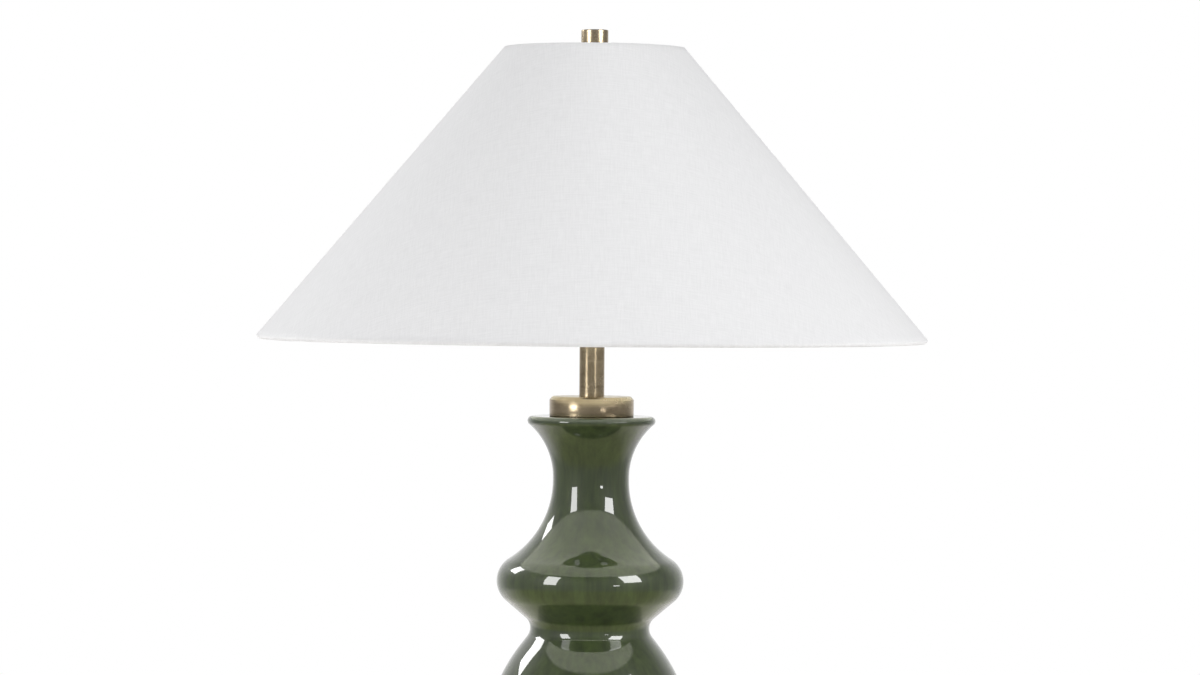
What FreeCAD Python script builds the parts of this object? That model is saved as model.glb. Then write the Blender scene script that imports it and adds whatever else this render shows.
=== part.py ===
import FreeCAD, Part
import math
import os

from FreeCAD import Vector

# Table lamp: a glazed double-gourd ceramic body on a low turned brass foot, a brass
# cap, neck and finial, and a hard-back cone shade carried by a detachable wire harp.
# Millimetres. +Z is up and the felt under the foot stands on z = 0. The harp lies in
# the XZ plane, the switch knob points to the front (-Y) and the lead leaves at the
# back (+Y). Every piece is built upwards from the one that carries it.

# ---- clearances ----
SEAT_GAP = 0.3         # between round pieces that only lie side by side
THREAD_GAP = 0.05      # between a plain threaded pin and its plain threaded hole
SLIDE_GAP = 0.08       # between a sleeve and the wire or socket that it slides on
WELD_GAP = 0.05        # between a spider arm's end and the ring that it is welded to
HEM_GAP = 0.45         # between a ring wire and the fabric rolled round it
OUTSIDE_SAG = 0.25     # the most that a straight band of a turned outline may cut off its curve
INSIDE_SAG = 1.0

# ---- foot ----
FELT_THICK = 2.0
FELT_INSET = 1.5       # how far the felt stays inside the foot's edge
FOOT_R = 70.0          # outer radius of the brass foot
FOOT_HEIGHT = 18.0
FOOT_BEVEL = 2.0
FOOT_SHEET = 1.5       # wall of the spun brass foot
WEIGHT_WEB = 2.5       # iron left over the recess for the nut
RECESS_R = 16.0        # recess under the weight, round the nut
CORD_GROOVE_W = 11.0   # groove in the weight from the recess to the bushing
BUSHING_BORE_R = 3.3   # takes a two-core lamp lead
BUSHING_WALL = 1.3
BUSHING_FLANGE = 1.2   # how far the flange stands out round the body, and its thickness
BUSHING_LENGTH = 5.6

# ---- threaded pipe and its lower clamp ----
PIPE_R = 5.15          # lamp pipe, 10.3 mm over the thread
PIPE_BORE_R = 3.4
NUT_ACROSS = 14.3
NUT_THICK = 4.5
WASHER_R = 14.0
WASHER_THICK = 1.6
PIPE_BELOW_NUT = 1.0
HOLE_ROUND_PIPE = 0.25  # radial room in every piece that is threaded over the pipe

# ---- ceramic body: swells and waists, each a circle in the turning plane ----
WALL = 6.0             # slip-cast wall
FLOOR_THICK = 7.0
FLOOR_RECESS = 4.0     # the floor stands this far above the foot ring
FOOT_RING_W = 8.0
FOOT_RING_BEVEL = 1.5
STEM_R = 64.0          # straight stretch above the foot ring
STEM_HEIGHT = 13.5
STEM_CURVE = 96.0
BELLY_RUN = 30.0       # straight stretch between the stem's curve and the belly's
BELLY_R = 80.4
BELLY_CURVE_LOW = 400.0
BELLY_CURVE_UP = 135.0
SHOULDER_RUN = 7.3
WAIST_R = 45.3
WAIST_CURVE = 10.5
COLLAR_RUN = 19.8
BULGE_R = 71.0
BULGE_CURVE = 19.7
NECK_R = 28.9
NECK_CURVE_LOW = 71.0
NECK_LAND = 2.0        # straight stretch at the narrowest part of the neck
NECK_CURVE_UP = 53.0
LIP_R = 48.6
LIP_CURVE = 3.6

# ---- plug, cap and neck over the mouth ----
PLUG_DEPTH = 8.0
PLUG_FLANGE_THICK = 1.5
PLUG_FLANGE_OVER = 4.5  # how far the plug's flange laps the lip
CAP_R = 32.0
CAP_HEIGHT = 15.0
CAP_SHEET = 1.5
CAP_BEVEL = 2.2
TUBE_R = 9.525         # three-quarter inch brass tube
TUBE_WALL = 1.0
TUBE_LENGTH = 44.5
RING_R = 11.0          # check ring that closes the top of the tube
RING_THICK = 2.0
RING_SPIGOT = 3.0

# ---- harp and its saddle ----
SADDLE_SHEET = 1.6
SADDLE_BEND = 2.5
SADDLE_WIDTH = 10.0
SADDLE_PAD_R = 11.5
SADDLE_SHOULDER = 3.4  # height of the ears' shoulders over the saddle's flat
TONGUE_WIDTH = 3.6
TONGUE_HEIGHT = 9.5
LEG_X = 29.0           # half the distance between the harp's legs
WIRE_R = 1.7
HARP_HEIGHT = 203.0    # 8 inch harp, from the saddle's underside to the harp's top
HARP_HALF_WIDTH = 58.0
HARP_FOOT_BEND_R = 30.0  # radius where a leg leans outwards
HARP_SIDE_BEND_R = 90.0  # radius where it turns upright again
HARP_LEAN = 18.0       # degrees
HARP_TOP_HALF = 8.0    # half the straight stretch at the top
HARP_EYE_R = 7.0
SOCKET_R = 3.0         # sockets at the ends of the harp, over the tongues
SOCKET_HEIGHT = 11.5
SOCKET_ROOF = 1.5
SLEEVE_WALL = 0.8
SLEEVE_THROAT = 3.3    # length of the narrow top of a sleeve, which rides on the wire
SLEEVE_OVER = 0.5      # room between a socket's top and the sleeve's throat
STUD_R = 3.17          # quarter-inch stud
STUD_LENGTH = 13.0
STUD_SEAT_R = 9.0
STUD_SEAT_THICK = 1.5
RIVET_R = 2.2
RIVET_HEAD_R = 3.6
RIVET_HEAD_THICK = 1.2

# ---- socket ----
SHELL_R = 16.7
SHELL_SHEET = 0.7
SHELL_HEIGHT = 44.5
SHELL_BEAD = 0.7
SHELL_IN_CAP = 5.5     # how far the shell goes down into the socket cap
CUP_SHEET = 0.8
CUP_SHELL_GAP = 0.1    # the shell is pushed into the cap with this round it
HUB_R = 7.5
HUB_HEIGHT = 4.0
DOME_SAG = 0.8
PIPE_IN_SOCKET = 3.0   # the pipe ends this far above the floor of the socket cap
LINER_THICK = 0.6
LINER_GAP = 0.1        # the liner lies this far inside the shell
BLOCK_HEIGHT = 20.0
BLOCK_LIFT = 0.5       # the switch block and the liner stand this far over the shell's edge
BLOCK_FLAT_X = 13.2    # flats that carry the terminal screws
TERMINAL_R = 2.8
TERMINAL_THICK = 1.5
TERMINAL_SHANK_R = 1.6
TERMINAL_SHANK = 4.0
TERMINAL_DOWN = 14.0   # below the top of the block
SCREW_BORE_R = 13.4    # medium screw base, 26 mm
SCREW_SHEET = 0.5
SCREW_HEIGHT = 23.0
SCREW_FLOOR_R = 8.0
CONTACT_R = 4.0
CONTACT_SHEET = 0.5
CONTACT_RISE = 3.0
SPINDLE_R = 2.4
SPINDLE_START = 3.0    # its inner end, measured from the lamp's axis
SPINDLE_DOWN = 10.0    # below the top of the block
SPINDLE_OUT = 11.0     # beyond the shell
SHELL_HOLE_GAP = 0.8   # round the spindle in the shell and the liner
KNOB_R = 6.0
KNOB_LENGTH = 13.5
KNOB_OFF_SHELL = 4.5
KNOB_DOME = 1.5
KNOB_FLUTES = 10
KNOB_FLUTE_R = 0.9

# ---- shade ----
SHADE_BOTTOM_R = 254.0
SHADE_TOP_R = 70.5
SHADE_SLOPE_HEIGHT = 216.6   # between the two ring wires
SHADE_DROP = 10.5      # the top ring wire lies this far over the spider washer
RING_WIRE_R = 1.3
SHADE_SHEET = 1.0      # linen laminated to styrene
HEM_WRAP = 270.0       # degrees of each ring wire that the rolled edge covers
HEM_BANDS = 4
RING_WIRE_SIDES = 6
ARM_COUNT = 3
ARM_FIRST = 90.0       # degrees, so that one arm points to the back
ARM_WIRE_R = 1.2
ARM_INNER_RUN = 6.0
ARM_RISE_ANGLE = 35.0
WIRE_SIDES = 8         # drawn wire is modelled with this many flats
SPIDER_R = 11.0
SPIDER_THICK = 1.6
SPIDER_HOLE_GAP = 0.25

# ---- finial ----
FINIAL_R = 10.25
FINIAL_HEIGHT = 24.7
FINIAL_NECK_R = 7.0
FINIAL_NECK_HEIGHT = 2.5
FINIAL_EDGE = 0.6
FINIAL_GAP = 0.2       # over the spider washer
INSERT_R = 5.0
INSERT_LENGTH = 10.5

# ---- heights that follow from the sizes above ----
FOOT_Z = FELT_THICK
BODY_Z = FOOT_Z + FOOT_HEIGHT
RECESS_TOP = BODY_Z - FOOT_SHEET - WEIGHT_WEB
WASHER_Z = RECESS_TOP - WASHER_THICK
NUT_Z = WASHER_Z - NUT_THICK
PIPE_Z = NUT_Z - PIPE_BELOW_NUT
PIPE_HOLE_R = PIPE_R + HOLE_ROUND_PIPE

UP = Vector(0, 0, 1)
BACK = Vector(0, 1, 0)
FRONT = Vector(0, -1, 0)
ORIGIN = Vector(0, 0, 0)


def save(name, shape):
    """Write one piece and print where it lies."""
    solids = shape.Solids
    if not solids or not shape.isValid():
        raise ValueError(name + " is not a sound solid")
    out = solids[0] if len(solids) == 1 else Part.makeCompound(solids)
    out.exportStep("parts/" + name + ".step")
    box = out.BoundBox
    print("%-18s %d solid(s), z %7.2f .. %7.2f" % (name, len(solids), box.ZMin, box.ZMax))


def at(radius, height):
    """A point in the turning plane, which is also the plane of the harp."""
    return Vector(radius, 0, height)


def on_circle(radius, height, curve, angle):
    """A point of a circle in the turning plane, as (radius, height). The angle is in degrees."""
    turn = math.radians(angle)
    return radius + curve * math.cos(turn), height + curve * math.sin(turn)


def turned(*corners):
    """Turn a closed outline about the lamp's axis, each corner given as (radius, height)."""
    points = [at(r, z) for r, z in corners]
    face = Part.Face(Part.makePolygon(points + points[:1]))
    return face.revolve(ORIGIN, UP, 360)


def disc(radius, bottom, thick):
    return Part.makeCylinder(radius, thick, at(0, bottom))


def tube(outer, inner, bottom, height):
    return disc(outer, bottom, height).cut(disc(inner, bottom, height))


# ---- outlines made of swells and waists ----
class Turn:
    """One circle of an outline: a swell bulges out to its radius, a waist draws in to it."""

    def __init__(self, swell, radius, curve, height):
        self.swell = swell
        self.radius = radius
        self.curve = curve
        self.height = height
        self.centre = radius - curve if swell else radius + curve
        self.base = 0 if swell else 180

    def inside(self, wall):
        """The same turn on the inner side of a wall."""
        curve = self.curve - wall if self.swell else self.curve + wall
        return Turn(self.swell, self.radius - wall, curve, self.height)


def rise(swell_r, swell_curve, waist_r, waist_curve, run):
    """Height between a swell and a waist whose circles are joined by a straight run."""
    sideways = (waist_r + waist_curve) - (swell_r - swell_curve)
    return math.sqrt((swell_curve + waist_curve) ** 2 + run ** 2 - sideways ** 2)


def joining_angle(low, high):
    """Angle at which the outline leaves one turn for the next, in degrees."""
    if low.swell == high.swell:
        return 0.0
    swell, waist = (low, high) if low.swell else (high, low)
    across = waist.centre - swell.centre
    up = waist.height - swell.height
    lean = math.acos(min(1.0, (swell.curve + waist.curve) / math.hypot(across, up)))
    heading = math.atan2(up, across)
    return math.degrees(heading - lean if up > 0 else heading + lean)


def outline(turns, first, last, sag):
    """Corners up a row of turns, each arc cut into bands that stay within the sag of it."""
    joins = [first] + [joining_angle(a, b) for a, b in zip(turns, turns[1:])] + [last]
    corners = []
    for turn, low, high in zip(turns, joins, joins[1:]):
        widest = 2 * math.degrees(math.acos(1 - sag / turn.curve))
        bands = math.ceil(abs(high - low) / widest)
        for k in range(bands + 1):
            angle = turn.base + (low + (high - low) * k / bands if bands else low)
            corner = on_circle(turn.centre, turn.height, turn.curve, angle)
            if not corners or math.dist(corner, corners[-1]) > 1e-6:
                corners.append(corner)
    return corners


# ---- drawn wire ----
def wire_path(start, heading, moves):
    """Runs and bends in the XZ plane. A run is (length,), a bend is (radius, turn) and may have no radius."""
    edges = []
    here = start
    for move in moves:
        ahead = Vector(math.cos(math.radians(heading)), 0, math.sin(math.radians(heading)))
        if len(move) == 1:
            there = here + ahead * move[0]
            edges.append(Part.LineSegment(here, there).toShape())
        else:
            radius, turn = move
            side = 1 if turn > 0 else -1
            centre = here + Vector(-ahead.z, 0, ahead.x) * (side * radius)
            begin = heading - side * 90
            points = [at(*on_circle(centre.x, centre.z, radius, begin + turn * k / 2)) for k in range(3)]
            there = points[-1]
            if radius:
                edges.append(Part.Arc(*points).toShape())
            heading = heading + turn
        here = there
    return Part.Wire(edges)


def drawn_wire(path, radius):
    """Wire of many flats along a path that starts straight. Sharp corners are mitred."""
    first = path.Edges[0]
    start = first.valueAt(first.FirstParameter)
    ahead = first.tangentAt(first.FirstParameter)
    side = ahead.cross(BACK)
    section = []
    for k in range(WIRE_SIDES + 1):
        turn = 2 * math.pi * (k + 0.5) / WIRE_SIDES
        section.append(start + side * (radius * math.cos(turn)) + BACK * (radius * math.sin(turn)))
    sweep = Part.BRepOffsetAPI.MakePipeShell(path)
    sweep.setFrenetMode(False)
    sweep.setTransitionMode(1)
    sweep.add(Part.makePolygon(section))
    sweep.build()
    sweep.makeSolid()
    return sweep.shape()


os.makedirs("parts", exist_ok=True)

# ---- foot: felt, spun brass shell, iron weight, lead bushing ----
save("felt_pad", disc(FOOT_R - FELT_INSET, 0, FELT_THICK))

foot_inner_r = FOOT_R - FOOT_SHEET
foot_shell = turned(
    (FOOT_R, FOOT_Z),
    (FOOT_R, BODY_Z - FOOT_BEVEL),
    (FOOT_R - FOOT_BEVEL, BODY_Z),
    (PIPE_HOLE_R, BODY_Z),
    (PIPE_HOLE_R, BODY_Z - FOOT_SHEET),
    (foot_inner_r - FOOT_BEVEL, BODY_Z - FOOT_SHEET),
    (foot_inner_r, BODY_Z - FOOT_SHEET - FOOT_BEVEL),
    (foot_inner_r, FOOT_Z),
)
bushing_z = (FOOT_Z + BODY_Z - FOOT_BEVEL) / 2
bushing_body_r = BUSHING_BORE_R + BUSHING_WALL
bushing_start = Vector(0, FOOT_R + BUSHING_FLANGE - BUSHING_LENGTH, bushing_z)
bushing_hole = Part.makeCylinder(bushing_body_r + THREAD_GAP, BUSHING_LENGTH, bushing_start, BACK)
save("brass_base", foot_shell.cut(bushing_hole))

weight = tube(foot_inner_r - FOOT_BEVEL, PIPE_HOLE_R, FOOT_Z, BODY_Z - FOOT_SHEET - FOOT_Z)
recess = disc(RECESS_R, FOOT_Z, RECESS_TOP - FOOT_Z)
groove = Part.makeBox(CORD_GROOVE_W, FOOT_R, RECESS_TOP - FOOT_Z, Vector(-CORD_GROOVE_W / 2, 0, FOOT_Z))
save("base_weight", weight.cut(recess.fuse(groove)))

bushing = Part.makeCylinder(bushing_body_r, BUSHING_LENGTH, bushing_start, BACK)
flange_start = Vector(0, FOOT_R, bushing_z)
flange = Part.makeCylinder(bushing_body_r + BUSHING_FLANGE, BUSHING_FLANGE, flange_start, BACK)
bore = Part.makeCylinder(BUSHING_BORE_R, BUSHING_LENGTH, bushing_start, BACK)
save("cord_bushing", bushing.fuse(flange).cut(bore))

save("base_washer", tube(WASHER_R, PIPE_R + THREAD_GAP, WASHER_Z, WASHER_THICK))
corner_r = NUT_ACROSS / math.sqrt(3)
nut_corners = [Vector(*on_circle(0, 0, corner_r, 60 * k), NUT_Z) for k in range(7)]
nut = Part.Face(Part.makePolygon(nut_corners)).extrude(UP * NUT_THICK)
save("base_nut", nut.cut(disc(PIPE_R + THREAD_GAP, NUT_Z, NUT_THICK)))

# ---- ceramic body ----
stem_z = BODY_Z + STEM_HEIGHT
belly_z = stem_z + rise(BELLY_R, BELLY_CURVE_LOW, STEM_R, STEM_CURVE, BELLY_RUN)
waist_z = belly_z + rise(BELLY_R, BELLY_CURVE_UP, WAIST_R, WAIST_CURVE, SHOULDER_RUN)
bulge_z = waist_z + rise(BULGE_R, BULGE_CURVE, WAIST_R, WAIST_CURVE, COLLAR_RUN)
neck_z = bulge_z + rise(BULGE_R, BULGE_CURVE, NECK_R, NECK_CURVE_LOW, 0)
lip_z = neck_z + NECK_LAND + rise(LIP_R, LIP_CURVE, NECK_R, NECK_CURVE_UP, 0)
mouth_z = lip_z + LIP_CURVE
body_turns = [
    Turn(False, STEM_R, STEM_CURVE, stem_z),
    Turn(True, BELLY_R, BELLY_CURVE_LOW, belly_z),
    Turn(True, BELLY_R, BELLY_CURVE_UP, belly_z),
    Turn(False, WAIST_R, WAIST_CURVE, waist_z),
    Turn(True, BULGE_R, BULGE_CURVE, bulge_z),
    Turn(False, NECK_R, NECK_CURVE_LOW, neck_z),
    Turn(False, NECK_R, NECK_CURVE_UP, neck_z + NECK_LAND),
    Turn(True, LIP_R, LIP_CURVE, lip_z),
]
mouth_r = NECK_R - WALL
floor_z = BODY_Z + FLOOR_RECESS
ring_inner_r = STEM_R - FOOT_RING_W
outside = outline(body_turns, 0, 90, OUTSIDE_SAG)
inside = outline([turn.inside(WALL) for turn in body_turns[:6]], 0, 0, INSIDE_SAG)
body = turned(
    *outside,
    (mouth_r, mouth_z),
    *inside[::-1],
    (STEM_R - WALL, floor_z + FLOOR_THICK),
    (PIPE_HOLE_R, floor_z + FLOOR_THICK),
    (PIPE_HOLE_R, floor_z),
    (ring_inner_r, floor_z),
    (ring_inner_r, BODY_Z),
    (STEM_R - FOOT_RING_BEVEL, BODY_Z),
    (STEM_R, BODY_Z + FOOT_RING_BEVEL),
)
save("ceramic_body", body)

# ---- plug, cap, neck tube and check ring ----
cap_z = mouth_z
tube_z = cap_z + CAP_HEIGHT
ring_z = tube_z + TUBE_LENGTH
saddle_z = ring_z + RING_THICK
plug = turned(
    (PIPE_HOLE_R, mouth_z - PLUG_DEPTH),
    (mouth_r - SEAT_GAP, mouth_z - PLUG_DEPTH),
    (mouth_r - SEAT_GAP, mouth_z),
    (mouth_r + PLUG_FLANGE_OVER, mouth_z),
    (mouth_r + PLUG_FLANGE_OVER, mouth_z + PLUG_FLANGE_THICK),
    (PIPE_HOLE_R, mouth_z + PLUG_FLANGE_THICK),
)
save("mouth_plug", plug)

cap_inner_r = CAP_R - CAP_SHEET
cap = turned(
    (CAP_R, cap_z),
    (CAP_R, tube_z - CAP_BEVEL),
    (CAP_R - CAP_BEVEL, tube_z),
    (PIPE_HOLE_R, tube_z),
    (PIPE_HOLE_R, tube_z - CAP_SHEET),
    (cap_inner_r - CAP_BEVEL, tube_z - CAP_SHEET),
    (cap_inner_r, tube_z - CAP_SHEET - CAP_BEVEL),
    (cap_inner_r, cap_z),
)
save("vase_cap", cap)

tube_inner_r = TUBE_R - TUBE_WALL
save("neck_tube", tube(TUBE_R, tube_inner_r, tube_z, TUBE_LENGTH))

check_ring = turned(
    (PIPE_HOLE_R, ring_z - RING_SPIGOT),
    (tube_inner_r - THREAD_GAP, ring_z - RING_SPIGOT),
    (tube_inner_r - THREAD_GAP, ring_z),
    (RING_R, ring_z),
    (RING_R, saddle_z),
    (PIPE_HOLE_R, saddle_z),
)
save("neck_ring", check_ring)

# ---- harp saddle: a strip bent up at both ends, with tongues for the harp ----
shoulder_z = saddle_z + SADDLE_SHEET + SADDLE_SHOULDER
tongue_z = shoulder_z + TONGUE_HEIGHT


def saddle_side(top):
    """The bent strip seen from the front, up to the given height."""
    outer_x = LEG_X + SADDLE_SHEET / 2
    inner_x = LEG_X - SADDLE_SHEET / 2
    outer_bend = SADDLE_BEND + SADDLE_SHEET
    half = [
        (inner_x, top),
        (outer_x, top),
        (outer_x, saddle_z + outer_bend),
        (outer_x - outer_bend, saddle_z),
    ]
    inner = [
        (inner_x - SADDLE_BEND, saddle_z + SADDLE_SHEET),
        (inner_x, saddle_z + SADDLE_SHEET + SADDLE_BEND),
    ]
    right = [at(x, z) for x, z in half]
    left = [at(-x, z) for x, z in half[::-1]]
    inner_left = [at(-x, z) for x, z in inner[::-1]]
    inner_right = [at(x, z) for x, z in inner]
    corners = right + left + inner_left + inner_right
    return Part.Face(Part.makePolygon(corners + corners[:1]))


def across(face, width):
    """A face in the XZ plane made solid, with its middle on that plane."""
    return face.extrude(BACK * width).translated(FRONT * (width / 2))


strip = across(saddle_side(shoulder_z), SADDLE_WIDTH).fuse(across(saddle_side(tongue_z), TONGUE_WIDTH))
strip = strip.fuse(disc(SADDLE_PAD_R, saddle_z, SADDLE_SHEET)).removeSplitter()
save("harp_saddle", strip.cut(disc(PIPE_HOLE_R, saddle_z, SADDLE_SHEET)))

# ---- harp: one wire loop with a flattened eye and two end sockets ----
harp_top_z = saddle_z + HARP_HEIGHT
socket_top_z = shoulder_z + SOCKET_HEIGHT
lean = math.radians(HARP_LEAN)
side_x = HARP_HALF_WIDTH - WIRE_R
top_bend = side_x - HARP_TOP_HALF
lean_run = (side_x - LEG_X - (HARP_FOOT_BEND_R + HARP_SIDE_BEND_R) * (1 - math.cos(lean))) / math.sin(lean)
lean_height = (HARP_FOOT_BEND_R + HARP_SIDE_BEND_R) * math.sin(lean) + lean_run * math.cos(lean)
leg_start_z = socket_top_z - SOCKET_ROOF / 2
leg_run = harp_top_z - WIRE_R - leg_start_z - lean_height - top_bend
outwards = (HARP_FOOT_BEND_R, HARP_LEAN)
upright = (HARP_SIDE_BEND_R, -HARP_LEAN)
rising = [(leg_run,), outwards, (lean_run,), upright, (top_bend, -90)]
falling = rising[::-1]
loop = drawn_wire(wire_path(at(-LEG_X, leg_start_z), 90, rising + [(2 * HARP_TOP_HALF,)] + falling), WIRE_R)
eye_thick = 2 * WIRE_R
eye_z = harp_top_z - eye_thick
loop = loop.fuse(disc(HARP_EYE_R, eye_z, eye_thick))
slot_x = SADDLE_SHEET + 2 * SEAT_GAP
slot_y = TONGUE_WIDTH + 2 * SEAT_GAP
for side in (-1, 1):
    foot = at(side * LEG_X, shoulder_z)
    slot = Part.makeBox(slot_x, slot_y, SOCKET_HEIGHT - SOCKET_ROOF, foot - Vector(slot_x / 2, slot_y / 2, 0))
    loop = loop.fuse(Part.makeCylinder(SOCKET_R, SOCKET_HEIGHT, foot)).cut(slot)
save("harp_loop", loop.cut(disc(RIVET_R + THREAD_GAP, eye_z, eye_thick)))

# ---- sleeves that lock the harp on the saddle ----
sleeve_bore_r = SOCKET_R + SLIDE_GAP
sleeve_r = sleeve_bore_r + SLEEVE_WALL
sleeve_z = shoulder_z + SEAT_GAP
throat_z = socket_top_z + SLEEVE_OVER
sleeve = turned(
    (sleeve_bore_r, sleeve_z),
    (sleeve_r, sleeve_z),
    (sleeve_r, throat_z),
    (sleeve_bore_r, throat_z + SLEEVE_THROAT),
    (WIRE_R + SLIDE_GAP, throat_z + SLEEVE_THROAT),
    (WIRE_R + SLIDE_GAP, throat_z),
    (sleeve_bore_r, throat_z),
)
save("harp_sleeve_left", sleeve.translated(at(-LEG_X, 0)))
save("harp_sleeve_right", sleeve.translated(at(LEG_X, 0)))

# ---- stud riveted through the harp's eye ----
seat_z = harp_top_z + STUD_SEAT_THICK
stud = turned(
    (0, eye_z - RIVET_HEAD_THICK),
    (RIVET_HEAD_R, eye_z - RIVET_HEAD_THICK),
    (RIVET_HEAD_R, eye_z),
    (RIVET_R, eye_z),
    (RIVET_R, harp_top_z),
    (STUD_SEAT_R, harp_top_z),
    (STUD_SEAT_R, seat_z),
    (STUD_R, seat_z),
    (STUD_R, seat_z + STUD_LENGTH),
    (0, seat_z + STUD_LENGTH),
)
save("harp_stud", stud)

# ---- socket cap, shell, liner ----
cup_z = saddle_z + SADDLE_SHEET
cup_r = SHELL_R + CUP_SHELL_GAP + CUP_SHEET
dome_z = cup_z + HUB_HEIGHT
dome = Turn(True, cup_r, cup_r - HUB_R, dome_z + cup_r - HUB_R)
wall_z = dome.height
shell_z = wall_z + 2 * SEAT_GAP
cup_top_z = shell_z + SHELL_IN_CAP
cup = turned(
    (PIPE_R + THREAD_GAP, cup_z),
    (HUB_R, cup_z),
    *outline([dome], -90, 0, DOME_SAG),
    (cup_r, cup_top_z),
    (cup_r - CUP_SHEET, cup_top_z),
    *outline([dome.inside(CUP_SHEET)], 0, -90, DOME_SAG),
    (PIPE_R + THREAD_GAP, dome_z + CUP_SHEET),
)
save("socket_cap", cup)

block_z = shell_z + BLOCK_LIFT
block_top_z = block_z + BLOCK_HEIGHT
spindle_z = block_top_z - SPINDLE_DOWN
shell_top_z = shell_z + SHELL_HEIGHT
shell_inner_r = SHELL_R - SHELL_SHEET
spindle_hole = Part.makeCylinder(SPINDLE_R + SHELL_HOLE_GAP, SHELL_R + 1, at(0, spindle_z), FRONT)
shell = turned(
    (shell_inner_r, shell_z),
    (SHELL_R, shell_z),
    (SHELL_R, shell_top_z - 2 * SHELL_BEAD),
    (SHELL_R + SHELL_BEAD, shell_top_z - SHELL_BEAD),
    (SHELL_R, shell_top_z),
    (shell_inner_r, shell_top_z),
)
save("socket_shell", shell.cut(spindle_hole))

liner_r = shell_inner_r - LINER_GAP
liner = tube(liner_r, liner_r - LINER_THICK, block_z, shell_top_z - SHELL_BEAD - block_z)
save("socket_liner", liner.cut(spindle_hole))

# ---- switch block with its terminals ----
block_r = liner_r - LINER_THICK - SEAT_GAP
block_corner = Vector(-BLOCK_FLAT_X, -block_r, block_z)
between_flats = Part.makeBox(2 * BLOCK_FLAT_X, 2 * block_r, BLOCK_HEIGHT, block_corner)
block = disc(block_r, block_z, BLOCK_HEIGHT).common(between_flats)
terminal_z = block_top_z - TERMINAL_DOWN
terminals = []
for side in (-1, 1):
    out = Vector(side, 0, 0)
    shank_start = at(side * (BLOCK_FLAT_X - TERMINAL_SHANK), terminal_z)
    shank = Part.makeCylinder(TERMINAL_SHANK_R, TERMINAL_SHANK, shank_start, out)
    head = Part.makeCylinder(TERMINAL_R, TERMINAL_THICK, at(side * BLOCK_FLAT_X, terminal_z), out)
    block = block.cut(shank)
    terminals.append(shank.fuse(head))
spindle_room = Vector(0, -(SPINDLE_START - SEAT_GAP), spindle_z)
save("switch_block", block.cut(Part.makeCylinder(SPINDLE_R + THREAD_GAP, block_r, spindle_room, FRONT)))
save("terminal_screws", Part.makeCompound(terminals))

# ---- screw shell and centre contact ----
screw_outer_r = SCREW_BORE_R + SCREW_SHEET
screw_shell = turned(
    (SCREW_FLOOR_R, block_top_z),
    (screw_outer_r, block_top_z),
    (screw_outer_r, block_top_z + SCREW_HEIGHT),
    (SCREW_BORE_R, block_top_z + SCREW_HEIGHT),
    (SCREW_BORE_R, block_top_z + SCREW_SHEET),
    (SCREW_FLOOR_R, block_top_z + SCREW_SHEET),
)
save("screw_shell", screw_shell)

contact_z = block_top_z + CONTACT_RISE
spring = [
    at(-CONTACT_R, block_top_z),
    at(CONTACT_R, block_top_z),
    at(CONTACT_R, block_top_z + CONTACT_SHEET),
    at(-CONTACT_R + CONTACT_SHEET, block_top_z + CONTACT_SHEET),
    at(CONTACT_R / 2, contact_z - CONTACT_SHEET),
    at(CONTACT_R, contact_z - CONTACT_SHEET),
    at(CONTACT_R, contact_z),
    at(CONTACT_R / 2, contact_z),
    at(-CONTACT_R, block_top_z + CONTACT_SHEET),
]
save("centre_contact", across(Part.Face(Part.makePolygon(spring + spring[:1])), CONTACT_R))

# ---- threaded pipe: from under the base nut to the inside of the socket cap ----
pipe_top_z = dome_z + CUP_SHEET + PIPE_IN_SOCKET
save("lamp_pipe", tube(PIPE_R, PIPE_BORE_R, PIPE_Z, pipe_top_z - PIPE_Z))

# ---- switch spindle and fluted knob ----
spindle_length = SHELL_R + SPINDLE_OUT - SPINDLE_START
spindle = Part.makeCylinder(SPINDLE_R, spindle_length, Vector(0, -SPINDLE_START, spindle_z), FRONT)
save("switch_spindle", spindle)
knob_bore_r = SPINDLE_R + THREAD_GAP
knob_bore_depth = SPINDLE_OUT - KNOB_OFF_SHELL
knob = turned(
    (knob_bore_r, 0),
    (KNOB_R, 0),
    (KNOB_R, KNOB_LENGTH - KNOB_DOME),
    (KNOB_R - KNOB_DOME, KNOB_LENGTH),
    (0, KNOB_LENGTH),
    (0, knob_bore_depth),
    (knob_bore_r, knob_bore_depth),
)
for k in range(KNOB_FLUTES):
    flute = Part.makeCylinder(KNOB_FLUTE_R, KNOB_LENGTH, at(KNOB_R + KNOB_FLUTE_R / 2, 0))
    knob = knob.cut(flute.rotated(ORIGIN, UP, 360.0 * k / KNOB_FLUTES))
knob = knob.rotated(ORIGIN, Vector(1, 0, 0), 90)
save("switch_knob", knob.translated(Vector(0, -SHELL_R - KNOB_OFF_SHELL, spindle_z)))

# ---- shade: ring wires, and linen laminated to styrene with both edges rolled round them ----
spider_z = seat_z
roll_inner_r = RING_WIRE_R + HEM_GAP
roll_outer_r = roll_inner_r + SHADE_SHEET
top_ring_z = spider_z + SHADE_DROP
low_ring_z = top_ring_z - SHADE_SLOPE_HEIGHT
top_ring_r = SHADE_TOP_R - roll_outer_r
low_ring_r = SHADE_BOTTOM_R - roll_outer_r
square_on = math.degrees(math.atan2(low_ring_r - top_ring_r, SHADE_SLOPE_HEIGHT))


def roll(ring_r, ring_z, radius, wrap):
    """Corners of a rolled edge, from the shade's slope round the ring wire."""
    steps = range(HEM_BANDS + 1)
    return [on_circle(ring_r, ring_z, radius, square_on + wrap * k / HEM_BANDS) for k in steps]


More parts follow.
